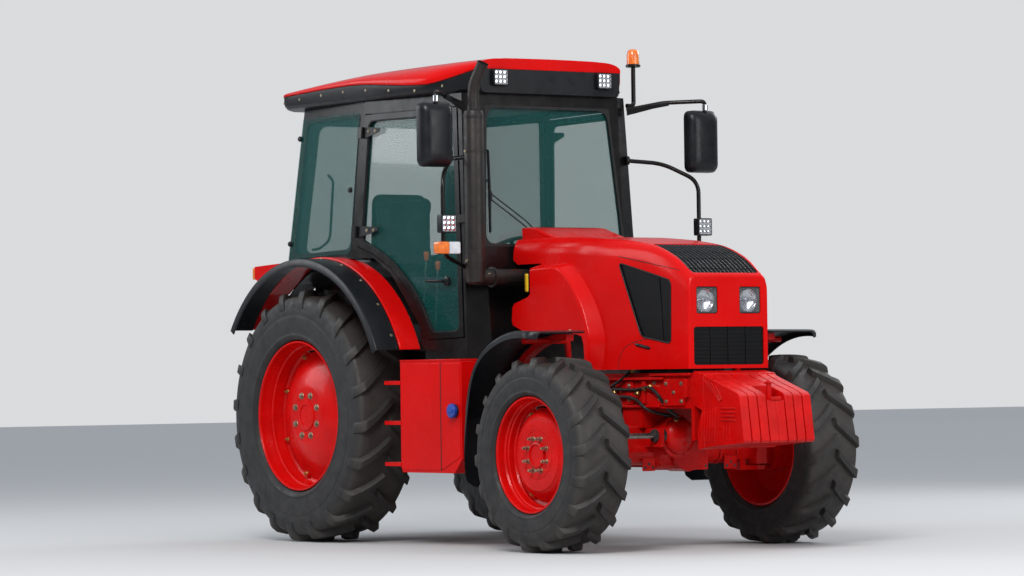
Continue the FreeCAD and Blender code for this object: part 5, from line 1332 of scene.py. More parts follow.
def pillow(name, spot, size, lean, body, stands=(), swell=0.024, puff=4.0):
    # a crowned pad blown up by cloth simulation from a slightly smaller block
    bm = bmesh.new()
    half = Vector(size) / 2 - Vector((0.012, 0.012, 0.012))
    rows = []
    for level, share in ((-1, 0.86), (-0.80, 0.97), (0, 1.0), (0.80, 0.97), (1, 0.86)):
        x, y = half.x * share, half.y * share
        z = level * half.z
        corners = [Vector((-x, -y, z)), Vector((x, -y, z)), Vector((x, y, z)), Vector((-x, y, z))]
        rows.append(roundedOutline(corners, 0.055))
    loft(bm, rows, capped=True, around=True)
    bmesh.ops.recalc_face_normals(bm, faces=bm.faces)
    made = meshObject(name, bm)
    grid = made.modifiers.new("grid", "REMESH")
    grid.mode = "VOXEL"
    grid.voxel_size = 0.0065
    applied(made)
    rest = [corner.co.copy() for corner in made.data.vertices]
    cloth = made.modifiers.new("cloth", "CLOTH")
    cloth.settings.use_pressure = True
    cloth.settings.uniform_pressure_force = puff
    cloth.settings.effector_weights.gravity = 0.0
    cloth.settings.tension_stiffness = 12
    cloth.point_cache.frame_start = 1
    cloth.point_cache.frame_end = 20
    scene = bpy.context.scene
    for number in range(1, 21):
        scene.frame_set(number)
    applied(made)
    for corner, before in zip(made.data.vertices, rest):
        moved = corner.co - before
        if moved.length > swell:
            moved *= swell / moved.length
        corner.co = before + moved
    scene.frame_set(1)
    turn = Matrix.Rotation(lean, 3, "Y")
    for corner in made.data.vertices:
        # two sewn channels across and a pressed underside
        co = corner.co
        if co.z > 0:
            for line in (-0.30, 0.22):
                away = abs(co.x - line * size[0]) / 0.012
                co.z -= 0.007 * exp(-away * away)
        away = abs(abs(co.y) - size[1] * 0.30) / 0.010
        if co.z > 0:
            co.z -= 0.006 * exp(-away * away)
        for axis in range(3):
            limit = size[axis] / 2
            co[axis] = max(-limit, min(limit, co[axis]))
        corner.co = turn @ co + spot
    made.data.materials.append(paints["cloth"])
    soft = made.modifiers.new("soft", "SUBSURF")
    soft.levels = 1
    soft.render_levels = 1
    applied(made)
    made.data.shade_smooth()
    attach(made, body)
    if stands:
        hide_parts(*stands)


pillow("seatCushion", at(0.030, 0, 1.5505), (0.490, 0.480, 0.120), 0.0, "chassis", ("chair_cushions",))
pillow("backCushion", at(-0.265, 0, 1.900), (0.500, 0.455, 0.088), radians(-90), "chassis")
bm = bmesh.new()
back = [(-0.222, 1.578), (0.222, 1.578), (0.205, 2.145), (-0.205, 2.145)]
slab(bm, roundedOutline([at(-0.306, y, z) for y, z in back], 0.07, 6), forward * -0.003)
for side in (-1, 1):
    y = side * 0.262
    arm = rounded([at(-0.285, side * 0.252, 1.70), at(-0.200, y, 1.745), at(0.060, y, 1.750)], 0.05, 5)
    sweep(bm, arm, [0.014] + [0.024] * (len(arm) - 2) + [0.016], 14)
piece("chairShell", bm, "chassis", "darkPlastic", bevel=0.004)
chair = dict(x=-0.035, foot=1.3705, bellows=1.412, fold=0.014, folds=5)
bm = bmesh.new()
for number in range(chair["folds"]):
    z = chair["bellows"] + chair["fold"] * number
    reach = 0.118 + 0.010 * (number % 2)
    brick(bm, chair["x"] - reach, chair["x"] + reach, -reach - 0.02, reach + 0.02, z, z + 0.013)
brick(bm, chair["x"] - 0.165, chair["x"] + 0.165, -0.190, 0.190, chair["foot"], 1.410)
brick(bm, chair["x"] - 0.140, chair["x"] + 0.145, -0.165, 0.165, 1.480, 1.4895)
piece("chairBase", bm, "chassis", "rubber", ("chair_pedestal",), bevel=0.005, segments=3)

handWheel = dict(radius=0.180, grip=0.0118, spokes=3, wide=0.024)
head = at(0.910, 0, 1.740)
axis = Vector((-0.481919, 0, 0.876216))
across = axis.cross(left).normalized()
bm = bmesh.new()
grip = handWheel["grip"]
hub = head - axis * 0.001
spin(bm, arcPairs(16, 0, tau, grip, grip, handWheel["radius"])[:-1], hub, axis, 72, closed=True)
spin(bm, [(0.012, -0.0195), (0.032, -0.0195), (0.034, -0.012), (0.034, 0.002), (0.030, 0.008), (0.016, 0.0095),
          (0, 0.0095)], hub, axis, 32)
for out in spokes(handWheel["spokes"], across, left, 0.75):
    start = hub + out * 0.028 - axis * 0.004
    end = hub + out * (handWheel["radius"] - 0.008) - axis * 0.001
    beam(bm, start, end, handWheel["wide"], 0.008, axis)
piece("handWheel", bm, "hand_wheel", "darkPlastic", ("steering_wheel",), bevel=0.002, smooth=45)

# dashboard: a wide box and the column's foot, both lofted towards the rear
low = cab["floor"] + 0.002
bm = bmesh.new()
for radius, sections in (
        (0.045, ((1.310, 0.296, 1.610), (1.300, 0.300, 1.636), (1.200, 0.300, 1.640), (1.120, 0.296, 1.636),
                 (1.096, 0.282, 1.600), (1.091, 0.262, 1.560))),
        (0.030, ((1.092, 0.120, 1.590), (1.060, 0.120, 1.588), (1.010, 0.100, 1.560), (0.992, 0.080, 1.520)))):
    rows = [frontRectangle(x, -half, half, low, top, radius) for x, half, top in sections]
    loft(bm, rows, capped=True, around=True)
hump = [at(1.104, -0.270, 1.560), at(1.104, 0.270, 1.560), at(1.128, 0.250, 1.6395), at(1.128, -0.250, 1.6395)]
slab(bm, roundedOutline(hump, 0.03), forward * 0.05)
foot = at(1.020, 0, 1.540)
spin(bm, [(0.034, 0.0), (0.033, 0.060), (0.027, 0.130), (0.026, 0.190), (0.020, 0.202), (0.010, 0.205),
          (0.0089, 0.2205), (0, 0.2205)], foot, axis, 28)
for side in (-1, 1):
    stalk = [foot + axis * along + left * side * out
             for along, out in ((0.150, 0), (0.155, 0.06), (0.170, 0.150))]
    sweep(bm, rounded(stalk, 0.02, 4), 0.0065, 10)
piece("dashConsole", bm, "chassis", "board", ("dashboard",), bevel=0.002, smooth=40)
bm = bmesh.new()
for y, z, size in ((-0.150, 1.575, 0.038), (-0.055, 1.570, 0.044), (0.055, 1.570, 0.044),
                   (0.150, 1.575, 0.038)):
    spin(bm, [(size, 0.0), (size, 0.004), (size * 0.92, 0.005), (size * 0.90, 0.001), (0, 0.001)],
         at(1.094, y, z), -forward, 28)
for number in range(6):
    y = -0.165 + 0.056 * number
    brick(bm, 1.086, 1.092, y, y + 0.034, 1.480, 1.506)
piece("dashDials", bm, "chassis", "plastic", smooth=40)

sticks, knobs, boots = (bmesh.new() for number in range(3))
for x, y, tall, lean in ((0.420, -0.330, 0.560, 0.060), (0.520, -0.300, 0.500, 0.040),
                         (0.700, 0.260, 0.520, -0.050)):
    foot = at(x, y, cab["floor"])
    top = foot + Vector((lean, 0, tall))
    sweep(sticks, rounded([foot + up * 0.03, foot + up * 0.12, top], 0.08, 5), 0.006, 10)
    spin(knobs, [(0, -0.008), (0.011, -0.006), (0.014, 0.010), (0.0165, 0.032), (0.0150, 0.044),
                 (0.008, 0.0495), (0, 0.050)], top, up, 20)
    for fold in range(5):
        size, z = 0.040 - 0.006 * fold, 0.008 * fold
        spin(boots, [(size, z), (size + 0.003, z + 0.004), (size - 0.002, z + 0.008)], foot, up, 20)
    spin(boots, [(0.014, 0.040), (0, 0.040)], foot, up, 20)
    brick(boots, x - 0.045, x + 0.045, y - 0.035, y + 0.035, 1.1505, 1.158)
piece("leverSticks", sticks, "chassis", "steel", ("levers",), smooth=40)
piece("leverKnobs", knobs, "chassis", "orange", smooth=50)
piece("leverBoots", boots, "chassis", "rubber", smooth=40)
# right-hand console, floor mat with ribs, pedals, headlining
bm = bmesh.new()
console = [(-0.180, 1.375), (0.165, 1.375), (0.165, 1.640), (-0.180, 1.660)]
slab(bm, sideOutline(-0.300, console, 0.03, 4), left * -0.110)
headlining = [(-0.300, -0.540), (1.200, -0.500), (1.200, 0.500), (-0.300, 0.540)]
slab(bm, roundedOutline([at(x, y, 2.628) for x, y in headlining], 0.08), up * 0.035)
piece("cabConsole", bm, "chassis", "board", bevel=0.008, segments=3)
bm = bmesh.new()
mat = [(0.190, -0.500), (1.060, -0.430), (1.060, 0.430), (0.190, 0.500)]
slab(bm, roundedOutline([at(x, y, 1.1505) for x, y in mat], 0.06, 4), up * 0.006)
for number in range(12):
    y = -0.33 + 0.06 * number
    brick(bm, 0.560, 1.030, y - 0.008, y + 0.008, 1.156, 1.159)
x = 0.990
for y in (-0.200, -0.290, 0.200):
    low, high = y - 0.035, y + 0.035
    pedal = [at(x, low, 1.215), at(x, high, 1.215), at(x + 0.028, high, 1.300), at(x + 0.028, low, 1.300)]
    slab(bm, roundedOutline(pedal, 0.012, 4), forward * 0.010)
    beam(bm, at(x + 0.020, y, 1.255), at(x + 0.100, y, 1.290), 0.018, 0.008)
piece("floorMat", bm, "chassis", "rubber", bevel=0.0015)
print("inside the cab")


# Rails, mirrors, lamps and beacon

mirror = dict(x=1.574, y=0.985, clip=2.606, outer=1.083, inner=0.865, low=2.212, high=2.588)
rail = dict(x=1.561, y=0.936, radius=0.0128)
bm, shells, panes = (bmesh.new() for number in range(3))
for side in (-1, 1):
    x, y = rail["x"], side * rail["y"]
    line = rounded([at(1.325, side * 0.593, 2.287), at(1.410, side * 0.780, 2.270), at(x, y, 2.160),
                    at(x, y, 1.700), at(1.378, side * 0.594, 1.609)], 0.075, 8)
    sweep(bm, line, rail["radius"], 16)
    x, y = mirror["x"], side * mirror["y"]
    line = rounded([at(1.290, side * 0.602, 2.598), at(1.400, side * 0.800, 2.640), at(x, y, 2.645),
                    at(x, y, 2.575)], 0.03, 6)
    sweep(bm, line, rail["radius"], 16)
    # cast arm that tapers along the upper tube
    root, tip = at(1.292, side * 0.603, 2.598), at(1.440, side * 0.845, 2.642)
    reach = (tip - root).normalized()
    rows = []
    for along, tall, thick in ((0.0, 0.034, 0.011), (0.05, 0.030, 0.010), (0.16, 0.019, 0.010),
                               (0.26, 0.016, 0.014)):
        spot = root + reach * along
        out = reach.cross(up).normalized() * thick
        rows.append([spot + out * wide + up * tall * rise for wide, rise in (
            (0.7, 0.5), (1, -0.1), (0.7, -1), (-0.7, -1), (-1, -0.1), (-0.7, 0.5))])
    loft(bm, rows, capped=True, around=True)
    for spot, normal in ((at(1.318, side * 0.582, 2.289), Vector((0.3, side * 0.9, 0))),
                         (at(1.366, side * 0.590, 1.605), Vector((0.5, side * 0.8, 0)))):
        spin(bm, [(0, 0.010), (0.026, 0.010), (0.030, 0.0), (0.028, -0.010)], spot, normal, 20)
    # mirror shell: rounded back, pane facing rear
    rows = []
    for x, grow in ((1.516, 0.0), (1.520, 0.0), (1.556, 0.0), (1.580, -0.010), (1.596, -0.030),
                    (1.603, -0.060)):
        rows.append(frontRectangle(x, side * (mirror["inner"] - grow), side * (mirror["outer"] + grow),
                                   mirror["low"] - grow, mirror["high"] + grow, 0.045))
    loft(shells, rows, capped=True, around=True)
    pane = frontRectangle(1.5145, side * (mirror["inner"] + 0.012), side * (mirror["outer"] - 0.012),
                          mirror["low"] + 0.012, mirror["high"] - 0.012, 0.035)
    slab(panes, pane, forward * 0.003)
piece("railTubes", bm, "chassis", "cabBlack", ("handrails",), smooth=40)
piece("mirrorShells", shells, "chassis", "plastic", ("mirror_heads",), smooth=45)
piece("mirrorPanes", panes, "chassis", "mirror")
bm = bmesh.new()
for side in (-1, 1):
    spin(bm, [(0, -0.018), (0.0165, -0.018), (0.0165, 0.018), (0, 0.018)],
         at(mirror["x"], side * mirror["y"], mirror["clip"]), up, 16)
piece("mirrorClips", bm, "chassis", "chrome", bevel=0.002)

workLamps = ((1.574, 0.936, 1.880, 0.0525, 0.0525, 0.050), (1.345, 0.381, 2.7615, 0.0525, 0.0485, 0.030))
tail = dict(x=-0.700, low=1.617, high=1.693, deep=-0.034)
shells, faces, plates, ambers, whites, tails = (bmesh.new() for number in range(6))
for side in (-1, 1):
    for x, y, z, half, tall, deep in workLamps:
        y *= side
        slab(shells, frontRectangle(x, y - half, y + half, z - tall, z + tall, 0.010, 4), forward * deep)
        wide, high = half * 0.86, tall * 0.86
        slab(plates, frontRectangle(x + deep, y - wide, y + wide, z - high, z + high, 0.008, 4),
             forward * 0.0012)
        for row in (-1, 0, 1):
            for column in (-1, 0, 1):
                spot = at(x + deep + 0.0012, y + column * half * 0.56, z + row * tall * 0.56)
                spin(faces, [(half * 0.27, 0.0), (half * 0.26, 0.002), (half * 0.08, 0.004), (0, 0.004)],
                     spot, forward, 14)
    for y0, y1, target in ((0.858, 0.934, whites), (0.936, 1.014, ambers)):
        slab(target, frontRectangle(1.574, side * y0, side * y1, 1.705, 1.775, 0.012, 4), forward * 0.052)
    for y0, y1, target in ((0.766, 0.828, ambers), (0.702, 0.762, tails)):
        signal = frontRectangle(tail["x"], side * y0, side * y1, tail["low"], tail["high"], 0.008, 4)
        slab(target, signal, forward * tail["deep"])
piece("lampShells", shells, "chassis", "plastic", ("work_lamps",), bevel=0.003)
piece("lampFaces", faces, "chassis", "chrome", smooth=50)
piece("lampPlates", plates, "chassis", "lampGrey")
piece("amberSignals", ambers, "chassis", "amber", ("signal_lamps",), bevel=0.004)
piece("whiteSignals", whites, "chassis", "whiteLens", bevel=0.004)
piece("tailSignals", tails, "chassis", "tailRed", bevel=0.004)

beacon = dict(x=1.275, y=0.668, plate=2.860, ribs=(2.895, 2.908, 2.921, 2.934))
x, y = beacon["x"], beacon["y"]
foot = at(x, y, 0)
bm = bmesh.new()
sweep(bm, rounded([at(x, 0.615, 2.625), at(x, y, 2.625), at(x, y, 2.868)], 0.03, 6), 0.0135, 16)
spin(bm, [(0, beacon["plate"]), (0.040, beacon["plate"]), (0.045, 2.863), (0.045, 2.874), (0.041, 2.8785),
          (0, 2.8785)], foot, up, 36)
piece("beaconPost", bm, "chassis", "cabBlack", ("beacon",), smooth=40)
bm = bmesh.new()
spin(bm, [(0.0, 2.877), (0.0378, 2.877), (0.038, 2.885), (0.0375, 2.930), (0.034, 2.955), (0.026, 2.966),
          (0.012, 2.9708), (0, 2.971)], foot, up, 36)
for level in beacon["ribs"]:
    spin(bm, [(0.0375, level), (0.0380, level + 0.001), (0.0380, level + 0.004), (0.0375, level + 0.005)],
         foot, up, 36)
piece("beaconDome", bm, "chassis", "amber", smooth=50)
print("lamps")


# Front axle

axleX, axleZ = wheels["front"]["x"], wheels["front"]["z"]
plateArm = dict(rights=(0.190, 0.400), half=0.045, face=2.515, low=0.442, high=0.520)
bm = bmesh.new()
spin(bm, [(0, -0.64), (0.050, -0.64), (0.062, -0.60), (0.066, -0.40), (0.074, -0.16), (0.105, -0.13),
          (0.110, 0.19), (0.078, 0.22), (0.066, 0.40), (0.062, 0.60), (0.050, 0.64), (0, 0.64)],
     at(axleX, 0, axleZ), left, 36)
piece("axleTube", bm, "chassis", "chassisRed", smooth=35)
bm = bmesh.new()
profile = [(0.113, -0.14), (0.113, 0.0), (0.124, 0.002), (0.124, 0.020), (0.106, 0.022)]
profile += arcPairs(10, 0, pi / 2, 0.105, 0.062, along=0.030)
bowl = at(2.610, -0.060, 0.640)
spin(bm, profile, bowl, forward, 44)
for out in spokes(10, left, up):
    bolt(bm, bowl + forward * 0.020 + out * 0.115, forward, 0.007, 0.006, False)
bolt(bm, bowl + Vector((0.090, 0, -0.045)), forward, 0.013, 0.012)
piece("axleBowl", bm, "chassis", "chassisRed", smooth=35)
bm = bmesh.new()
eyes = bmesh.new()
for side in (-1, 1):
    # webs and collars of the axle arms, pierced plates below
    rows = []
    for y, high, half in ((0.150, 0.712, 0.070), (0.250, 0.700, 0.062), (0.400, 0.668, 0.052),
                          (0.485, 0.640, 0.044)):
        y *= side
        rows.append([at(axleX - half, y, 0.560), at(axleX + half, y, 0.560), at(axleX + half * 0.8, y, high),
                     at(axleX - half * 0.8, y, high)])
    loft(bm, rows, capped=True, around=True)
    for y in (0.330, 0.450):
        spin(bm, [(0.078, -0.008), (0.080, -0.006), (0.080, 0.006), (0.078, 0.008)],
             at(axleX, side * y, axleZ), left, 32, closed=True)
    for y in plateArm["rights"]:
        face, y0, y1 = plateArm["face"], side * y - plateArm["half"], side * y + plateArm["half"]
        slab(bm, frontRectangle(face, y0, y1, plateArm["low"], plateArm["high"], 0.008, 3), forward * 0.006)
        brick(bm, 2.440, face + 0.006, y0, y1, plateArm["high"] - 0.004, plateArm["high"] + 0.002)
        for across, z in ((-0.028, 0.462), (0.028, 0.462), (0.0, 0.482)):
            spin(eyes, [(0.0085, 0.0), (0.0085, 0.0012), (0.0070, 0.0012), (0.0068, 0.0), (0, 0.0)],
                 at(face + 0.0062, side * y + across, z), forward, 14)
piece("axleWebs", bm, "chassis", "chassisRed", bevel=0.004, segments=2)
piece("plateEyes", eyes, "chassis", "iron", smooth=40)

# Front frame: shelves, brackets and bolts on the rails, each as x and z spans, thickness and corner
railY = 0.250
railParts = ((2.060, 2.760, 0.962, 0.976, 0.026, 0.006), (2.640, 3.010, 0.984, 0.998, 0.020, 0.006),
             (2.300, 2.720, 0.806, 0.820, 0.018, 0.006), (2.760, 2.950, 0.815, 0.965, 0.012, 0.016),
             (2.962, 2.990, 0.860, 0.965, 0.030, 0.006), (2.400, 2.470, 0.825, 0.955, 0.010, 0.006),
             (2.560, 2.590, 0.825, 0.958, 0.016, 0.006))
boltSpots = ((2.785, 0.940, 0.012), (2.925, 0.940, 0.012), (2.785, 0.840, 0.012), (2.925, 0.840, 0.012),
             (2.855, 0.890, 0.012), (2.435, 0.930, 0.010), (2.435, 0.850, 0.010), (2.660, 0.945, 0.0),
             (2.700, 0.845, 0.0), (2.200, 0.930, 0.0), (2.280, 0.930, 0.0))
bm = bmesh.new()
metal = bmesh.new()
for side in (-1, 1):
    y = side * railY
    for x0, x1, z0, z1, thick, radius in railParts:
        slab(bm, sideRectangle(y, x0, x1, z0, z1, radius, 3), left * side * thick)
    slab(bm, sideOutline(y, [(2.600, 0.820), (2.760, 0.820), (2.600, 0.900)]), left * side * 0.010)
    for x, z, thick in boltSpots:
        bolt(metal, at(x, side * (railY + thick), z), left * side, 0.010, 0.008)
for y in (-0.180, -0.060, 0.060, 0.180):
    bolt(metal, at(3.000, y, 0.970), up * -1 + forward * 0.001, 0.010, 0.008)
piece("railPlates", bm, "chassis", "chassisRed", bevel=0.003, segments=2)
piece("railBolts", metal, "chassis", "boltMetal", smooth=30)
# formed hydraulic lines, clipped to the right rail and screwed into the bowl
bm = bmesh.new()
brass = bmesh.new()
lines = (
    ([at(2.080, -0.262, 0.915), at(2.520, -0.264, 0.905), at(2.640, -0.276, 0.925), at(2.735, -0.290, 0.890),
      at(2.752, -0.235, 0.800), at(2.712, -0.130, 0.752), at(2.662, -0.098, 0.735)], 0.0095),
    ([at(2.080, -0.264, 0.870), at(2.440, -0.268, 0.866), at(2.540, -0.282, 0.850), at(2.610, -0.270, 0.790),
      at(2.648, -0.160, 0.760), at(2.634, -0.070, 0.752)], 0.0095),
    ([at(2.120, -0.266, 0.890), at(2.330, -0.276, 0.940), at(2.420, -0.272, 0.985), at(2.470, -0.245, 1.030)],
     0.0085),
)
for line, size in lines:
    path = rounded(line, 0.09, 7)
    sweep(bm, path, size, 12)
    run = (path[-1] - path[-2]).normalized()
    spin(brass, [(0.013, -0.030), (0.013, -0.012), (0.0155, -0.011), (0.0155, 0.002), (0.010, 0.004),
                 (0, 0.004)], path[-1], run, 6)
for x, y, z in ((2.300, -0.256, 0.890), (2.520, -0.257, 0.884), (2.600, -0.262, 0.912), (2.648, -0.262, 0.922)):
    spin(brass, [(0, 0.0), (0.014, 0.0), (0.014, 0.014), (0.009, 0.018), (0.009, 0.026), (0, 0.026)],
         at(x, y, z), -left, 6)
piece("hydraulicLines", bm, "chassis", "rubber", smooth=60)
piece("lineFittings", brass, "chassis", "brass", smooth=30)
print("front frame")


# Rear hitch, gearbox and axle


def threadSection(first, pitch, count, root, crest):
    # radius and height pairs of a screw thread
    section = []
    for number in range(count):
        section += [(root, first + pitch * number), (crest, first + pitch * (number + 0.5))]
    return section


link = dict(front=(-0.060, 0.230, 0.560), end=(-0.905, 0.410, 0.480), edge=0.007, half=0.011, toe=0.034899)
bm = bmesh.new()
balls = bmesh.new()
for side in (-1, 1):
    (x0, y0, z0), (x1, y1, z1) = link["front"], link["end"]
    pin, end = at(x0, side * y0, z0), at(x1, side * y1, z1)
    run = (end - pin).normalized()
    tall = (up - run * up.dot(run)).normalized()
    thin = run.cross(tall)
    rows = []
    for along, half in ((0.030, 0.024), (0.085, 0.030), (0.30, 0.031), (0.62, 0.029), (0.80, 0.024),
                        (0.838, 0.021)):
        spot = pin + run * along
        slope, thick = half - link["edge"], link["half"]
        rows.append([spot + tall * rise + thin * wide for rise, wide in (
            (half, 0.008), (slope, thick), (-slope, thick), (-half, 0.008),
            (-half, -0.008), (-slope, -thick), (slope, -thick), (half, -0.008))])
    loft(bm, rows, capped=True, around=True)
    spin(bm, collar(0.0215, 0.031, 0.011, 0.001, 0.002), pin, left, 32, closed=True)
    axis = Vector((-link["toe"] * side, 0.999391, 0))
    spin(bm, collar(0.0265, 0.035, 0.018, 0.002, 0.003), end, axis, 32, closed=True)
    ball = [(0.0148, -0.0225)] + arcPairs(8, -0.95, 0.95, 0.0275, 0.0275) + [(0.0148, 0.0225)]
    spin(balls, ball, end, axis, 32, closed=True)
piece("draftArms", bm, "draft_links", "iron", ("lower_links",), smooth=35)
piece("draftBalls", balls, "draft_links", "steel", smooth=45)
lift = dict(shaft=(-0.290, 1.120), tip=(-0.625, 1.150), foot=0.560, rod=0.297, arm=0.326)
shaftX, shaftZ = lift["shaft"]
tipX, tipZ = lift["tip"]
bm = bmesh.new()
thread = bmesh.new()
for side in (-1, 1):
    y = side * lift["rod"]
    for z, size in ((tipZ, 0.028), (lift["foot"], 0.025)):
        spin(bm, collar(0.0155, size, 0.012, 0.002, 0.002), at(tipX, y, z), left, 28, closed=True)
    axisFoot = at(tipX, y, 0)
    spin(bm, [(0, 0.580), (0.0115, 0.580), (0.0115, 0.760), (0.019, 0.764), (0.019, 0.940), (0.0115, 0.946),
              (0.0115, 1.126), (0, 1.126)], axisFoot, up, 6)
    spin(thread, threadSection(0.950, 0.0058, 30, 0.0105, 0.0122), axisFoot, up, 20)
piece("liftRods", bm, "lift_links", "iron", ("lift_rods",), smooth=35)
piece("liftThreads", thread, "lift_links", "steel", smooth=30)
bm = bmesh.new()
for side in (-1, 1):
    y = side * lift["arm"]
    start, end = at(shaftX, y, shaftZ), at(tipX, y, tipZ)
    run = (end - start).normalized()
    tall = run.cross(left).normalized()
    rows = []
    for along, half in ((0.030, 0.038), (0.080, 0.031), (0.200, 0.027), (0.305, 0.024)):
        spot = start + run * along
        rows.append([spot + tall * rise + left * wide for rise, wide in (
            (half, -0.010), (half, 0.010), (-half, 0.010), (-half, -0.010))])
    loft(bm, rows, capped=True, around=True)
    for spot, size in ((start, 0.052), (end, 0.028)):
        spin(bm, collar(0, size, 0.011, 0.003, 0.003), spot, left, 32)
    spin(bm, [(0, -0.026), (0.0140, -0.024), (0.0140, 0.036), (0, 0.036)],
         at(tipX, side * lift["rod"], tipZ), left * side, 20)
spin(bm, collar(0, 0.032, 0.337, 0.0005, 0.002), at(shaftX, 0, shaftZ), left, 32)
piece("liftCrank", bm, "lift_shaft", "iron", ("lift_arms",), smooth=35, bevel=0.0015)

bm = bmesh.new()
thread = bmesh.new()
start = at(-0.302, 0, 0.900)
end = at(-0.800, 0, 0.760)
run = (end - start).normalized()
length = (end - start).length
spin(bm, [(0, 0.0), (0.014, 0.0), (0.014, 0.140), (0.021, 0.146), (0.021, 0.350), (0.014, 0.356),
          (0.014, length - 0.03), (0, length - 0.03)], start, run, 6)
spin(thread, threadSection(0.012, 0.0056, 22, 0.0150, 0.0172), start, run, 20)
spin(bm, collar(0.0135, 0.034, 0.0225, 0.003, 0.0045), end, left, 32, closed=True)
handle = start + run * 0.25
beam(bm, handle + left * 0.018, handle + left * 0.028, 0.150, 0.008, run.cross(left))
piece("topRod", bm, "chassis", "iron", ("top_link",), smooth=35, bevel=0.001)
piece("topThread", thread, "chassis", "steel", smooth=30)

# drawbar with its round, pierced end; the housing foot, the stub's guard and its six splines
drawbar = dict(x=-0.580, hole=0.0162, half=0.040, low=0.4205, high=0.4545)
stub = dict(z=0.640, splines=24, spread=((-0.085, 0.0150), (-0.045, 0.0174), (0.045, 0.0174), (0.085, 0.0150)))
bm = bmesh.new()
hole = []
tip = []
for step in range(24):
    turn = tau * step / 24
    across, along = sin(turn), cos(turn)
    size = max(abs(across), abs(along)) if along > 0 else 1.0
    hole.append(at(drawbar["x"] + drawbar["hole"] * along, drawbar["hole"] * across, 0))
    tip.append(at(drawbar["x"] + drawbar["half"] * along / size, drawbar["half"] * across / size, 0))
low, high = drawbar["low"], drawbar["high"]
rings = [[corner + up * z for corner in ring]
         for ring, z in ((hole, low), (tip, low), (tip, high), (hole, high))]
loft(bm, rings + rings[:1], around=True)
brick(bm, -0.541, -0.060, -drawbar["half"], drawbar["half"], low, high)
brick(bm, -0.299, -0.061, -0.069, 0.069, 0.455, 0.520)
for side in (-1, 1):
    brick(bm, -0.290, -0.070, side * 0.052 - 0.008, side * 0.052 + 0.008, 0.430, 0.456)
spin(bm, [(0, 0.0), (0.052, 0.0), (0.050, 0.050), (0.044, 0.060), (0.026, 0.060), (0.024, 0.056), (0, 0.056)],
     at(-0.300, 0, stub["z"]), -forward, 36)
piece("drawbarForging", bm, "chassis", "iron", ("rear_coupling",), smooth=30)
bm = bmesh.new()
profile = []
for step in range(stub["splines"]):
    turn = tau * step / stub["splines"]
    profile += [(turn + shift, size) for shift, size in stub["spread"]]
rows = []
for x, scale in ((-0.352, 1.0), (-0.434, 1.0), (-0.440, 0.86)):
    rows.append([at(x, size * scale * cos(turn), stub["z"] + size * scale * sin(turn))
                 for turn, size in profile])
loft(bm, rows, capped=True, around=True)
piece("driveStub", bm, "chassis", "steel", smooth=20)
bm = bmesh.new()
bolts = bmesh.new()
rearZ = wheels["rear"]["z"]
for side in (-1, 1):
    spin(bm, [(0.150, 0.188), (0.158, 0.196), (0.150, 0.240), (0.126, 0.300), (0.1215, 0.420), (0.1225, 0.535),
              (0.152, 0.540), (0.154, 0.560), (0.120, 0.571), (0, 0.571)], at(0, 0, rearZ), left * side, 44)
    for out in spokes(12, forward, up, 0.5):
        bolt(bolts, at(0, side * 0.540, rearZ) + out * 0.139, -left * side, 0.009, 0.007)
    for out in spokes(10, forward, up):
        bolt(bolts, at(0, side * 0.1905, rearZ) + out * 0.210, left * side, 0.009, 0.007)
piece("axleTrumpets", bm, "chassis", "chassisRed", smooth=35)
for z in (0.560, 0.720, 0.880, 1.040):
    for y in (-0.165, 0.165):
        bolt(bolts, at(-0.3005, y, z), -forward, 0.010, 0.008)
for out in spokes(8, left, up, 0.5):
    bolt(bolts, at(-0.3005, 0, stub["z"]) + out * 0.078, -forward, 0.008, 0.006)
piece("gearboxBolts", bolts, "chassis", "boltMetal", smooth=30)
bm = bmesh.new()
for x0, x1, z0, z1 in ((-0.240, 0.240, 0.560, 0.580), (0.380, 0.640, 0.560, 0.580),
                       (0.700, 1.360, 0.640, 0.656), (0.300, 0.320, 0.560, 1.060),
                       (0.660, 0.684, 0.540, 1.070), (1.000, 1.020, 0.560, 0.980),
                       (1.370, 1.396, 0.540, 1.070)):
    for side in (-1, 1):
        slab(bm, sideRectangle(side * 0.1895, x0, x1, z0, z1), left * side * 0.014)
piece("housingRibs", bm, "chassis", "chassisRed", bevel=0.004, segments=2)
print("rear hitch")


# Stage, light and camera

bm = bmesh.new()
slab(bm, [Vector((x, y, -0.02)) for x, y in ((-60, -60), (60, -60), (60, 60), (-60, 60))], up * 0.0195)
floor = meshObject("floor", bm)
floor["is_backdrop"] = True
ground = bpy.data.materials.new("ground")
ground.use_nodes = True
grain = ground.node_tree.nodes.new("ShaderNodeTexNoise")
grain.inputs["Scale"].default_value = 1.5
tone = ground.node_tree.nodes.new("ShaderNodeMapRange")
tone.inputs["To Min"].default_value = 0.46
tone.inputs["To Max"].default_value = 0.56
ground.node_tree.links.new(grain.outputs["Fac"], tone.inputs[0])
shader = ground.node_tree.nodes["Principled BSDF"]
ground.node_tree.links.new(tone.outputs[0], shader.inputs["Base Color"])
shader.inputs["Roughness"].default_value = 0.9
floor.data.materials.append(ground)

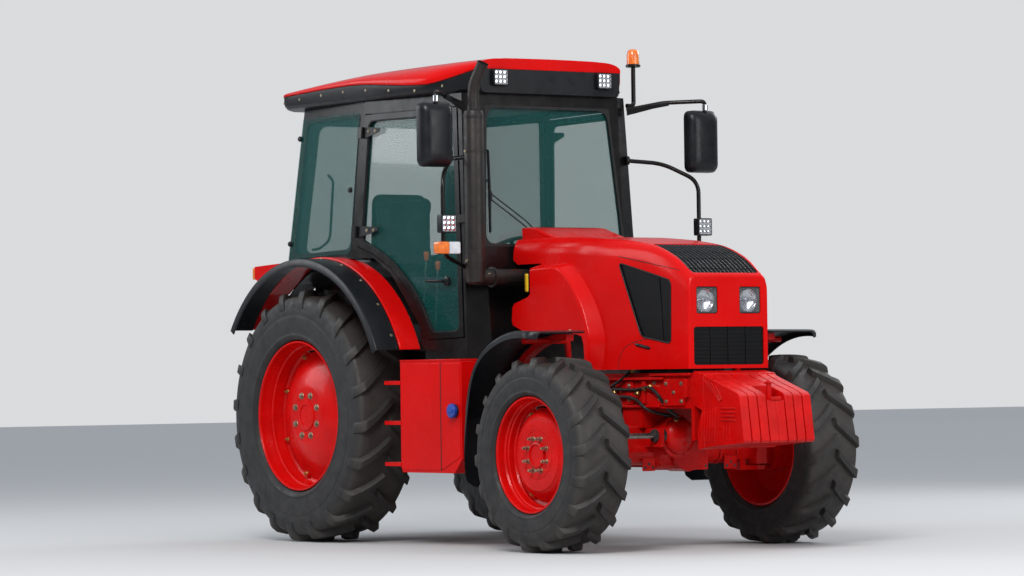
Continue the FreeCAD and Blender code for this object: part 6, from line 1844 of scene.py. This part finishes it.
world = bpy.data.worlds.new("sky")
bpy.context.scene.world = world
world.use_nodes = True
tree = world.node_tree
tree.nodes.clear()
result = tree.nodes.new("ShaderNodeOutputWorld")
path = tree.nodes.new("ShaderNodeLightPath")
seen = tree.nodes.new("ShaderNodeBackground")
light = tree.nodes.new("ShaderNodeBackground")
mix = tree.nodes.new("ShaderNodeMixShader")
seen.inputs["Color"].default_value = (0.70, 0.71, 0.72, 1)
seen.inputs["Strength"].default_value = 1.0
light.inputs["Color"].default_value = (0.86, 0.92, 1.0, 1)
tree.links.new(path.outputs["Is Camera Ray"], mix.inputs[0])
place = tree.nodes.new("ShaderNodeTexCoord")
split = tree.nodes.new("ShaderNodeSeparateXYZ")
rise = tree.nodes.new("ShaderNodeMapRange")
for slot, number in zip(rise.inputs[1:5], (-0.1, 0.75, 0.12, 0.85)):
    slot.default_value = number
tree.links.new(place.outputs["Generated"], split.inputs[0])
tree.links.new(split.outputs["Z"], rise.inputs[0])
tree.links.new(rise.outputs[0], light.inputs["Strength"])
tree.links.new(light.outputs[0], mix.inputs[1])
tree.links.new(seen.outputs[0], mix.inputs[2])
tree.links.new(mix.outputs[0], result.inputs[0])


def lamp(name, spot, aim, size, power, colour=(1, 1, 1)):
    data = bpy.data.lights.new(name, "AREA")
    data.shape = "RECTANGLE"
    data.size, data.size_y = size
    data.energy = power
    data.color = colour
    made = bpy.data.objects.new(name, data)
    bpy.context.scene.collection.objects.link(made)
    made.location = spot
    made.rotation_euler = (aim - spot).to_track_quat("-Z", "Y").to_euler()
    made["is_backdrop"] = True


lamp("key", Vector((6.5, -7.5, 8.5)), Vector((0, 0, 1.0)), (4, 4), 960, (1.0, 0.98, 0.95))
lamp("side", Vector((9, 2, 4)), Vector((0.5, 0, 1.2)), (5, 4), 250)
lamp("rearFill", Vector((-7, -6, 5)), Vector((-0.5, 0, 1.2)), (5, 4), 260, (0.94, 0.97, 1.0))
lamp("farSide", Vector((-2, 9, 6)), Vector((0, 0, 1.2)), (5, 4), 300)

cameraAt = Vector((19.832, -14.181, 0.9995))
yaw, pitch, roll = radians(144.9075), radians(1.2234), radians(-0.748)
view = Vector((cos(pitch) * cos(yaw), cos(pitch) * sin(yaw), sin(pitch)))
right = view.cross(up).normalized()
top = right.cross(view)
across = right * cos(roll) + top * sin(roll)
rise = top * cos(roll) - right * sin(roll)
camera = bpy.data.objects.new("camera", bpy.data.cameras.new("camera"))
bpy.context.scene.collection.objects.link(camera)
camera.data.sensor_width = 36
camera.data.lens = 143.307
camera.data.clip_end = 200
camera.matrix_world = Matrix.Translation(cameraAt) @ Matrix((across, rise, -view)).transposed().to_4x4()
camera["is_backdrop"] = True
bpy.context.scene.camera = camera
bpy.context.scene.view_settings.view_transform = "Standard"
print("stage")

size = {"cad": [[float(number) for number in corner] for corner in cadBounds],
        "visual": [[float(number) for number in corner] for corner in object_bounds()]}
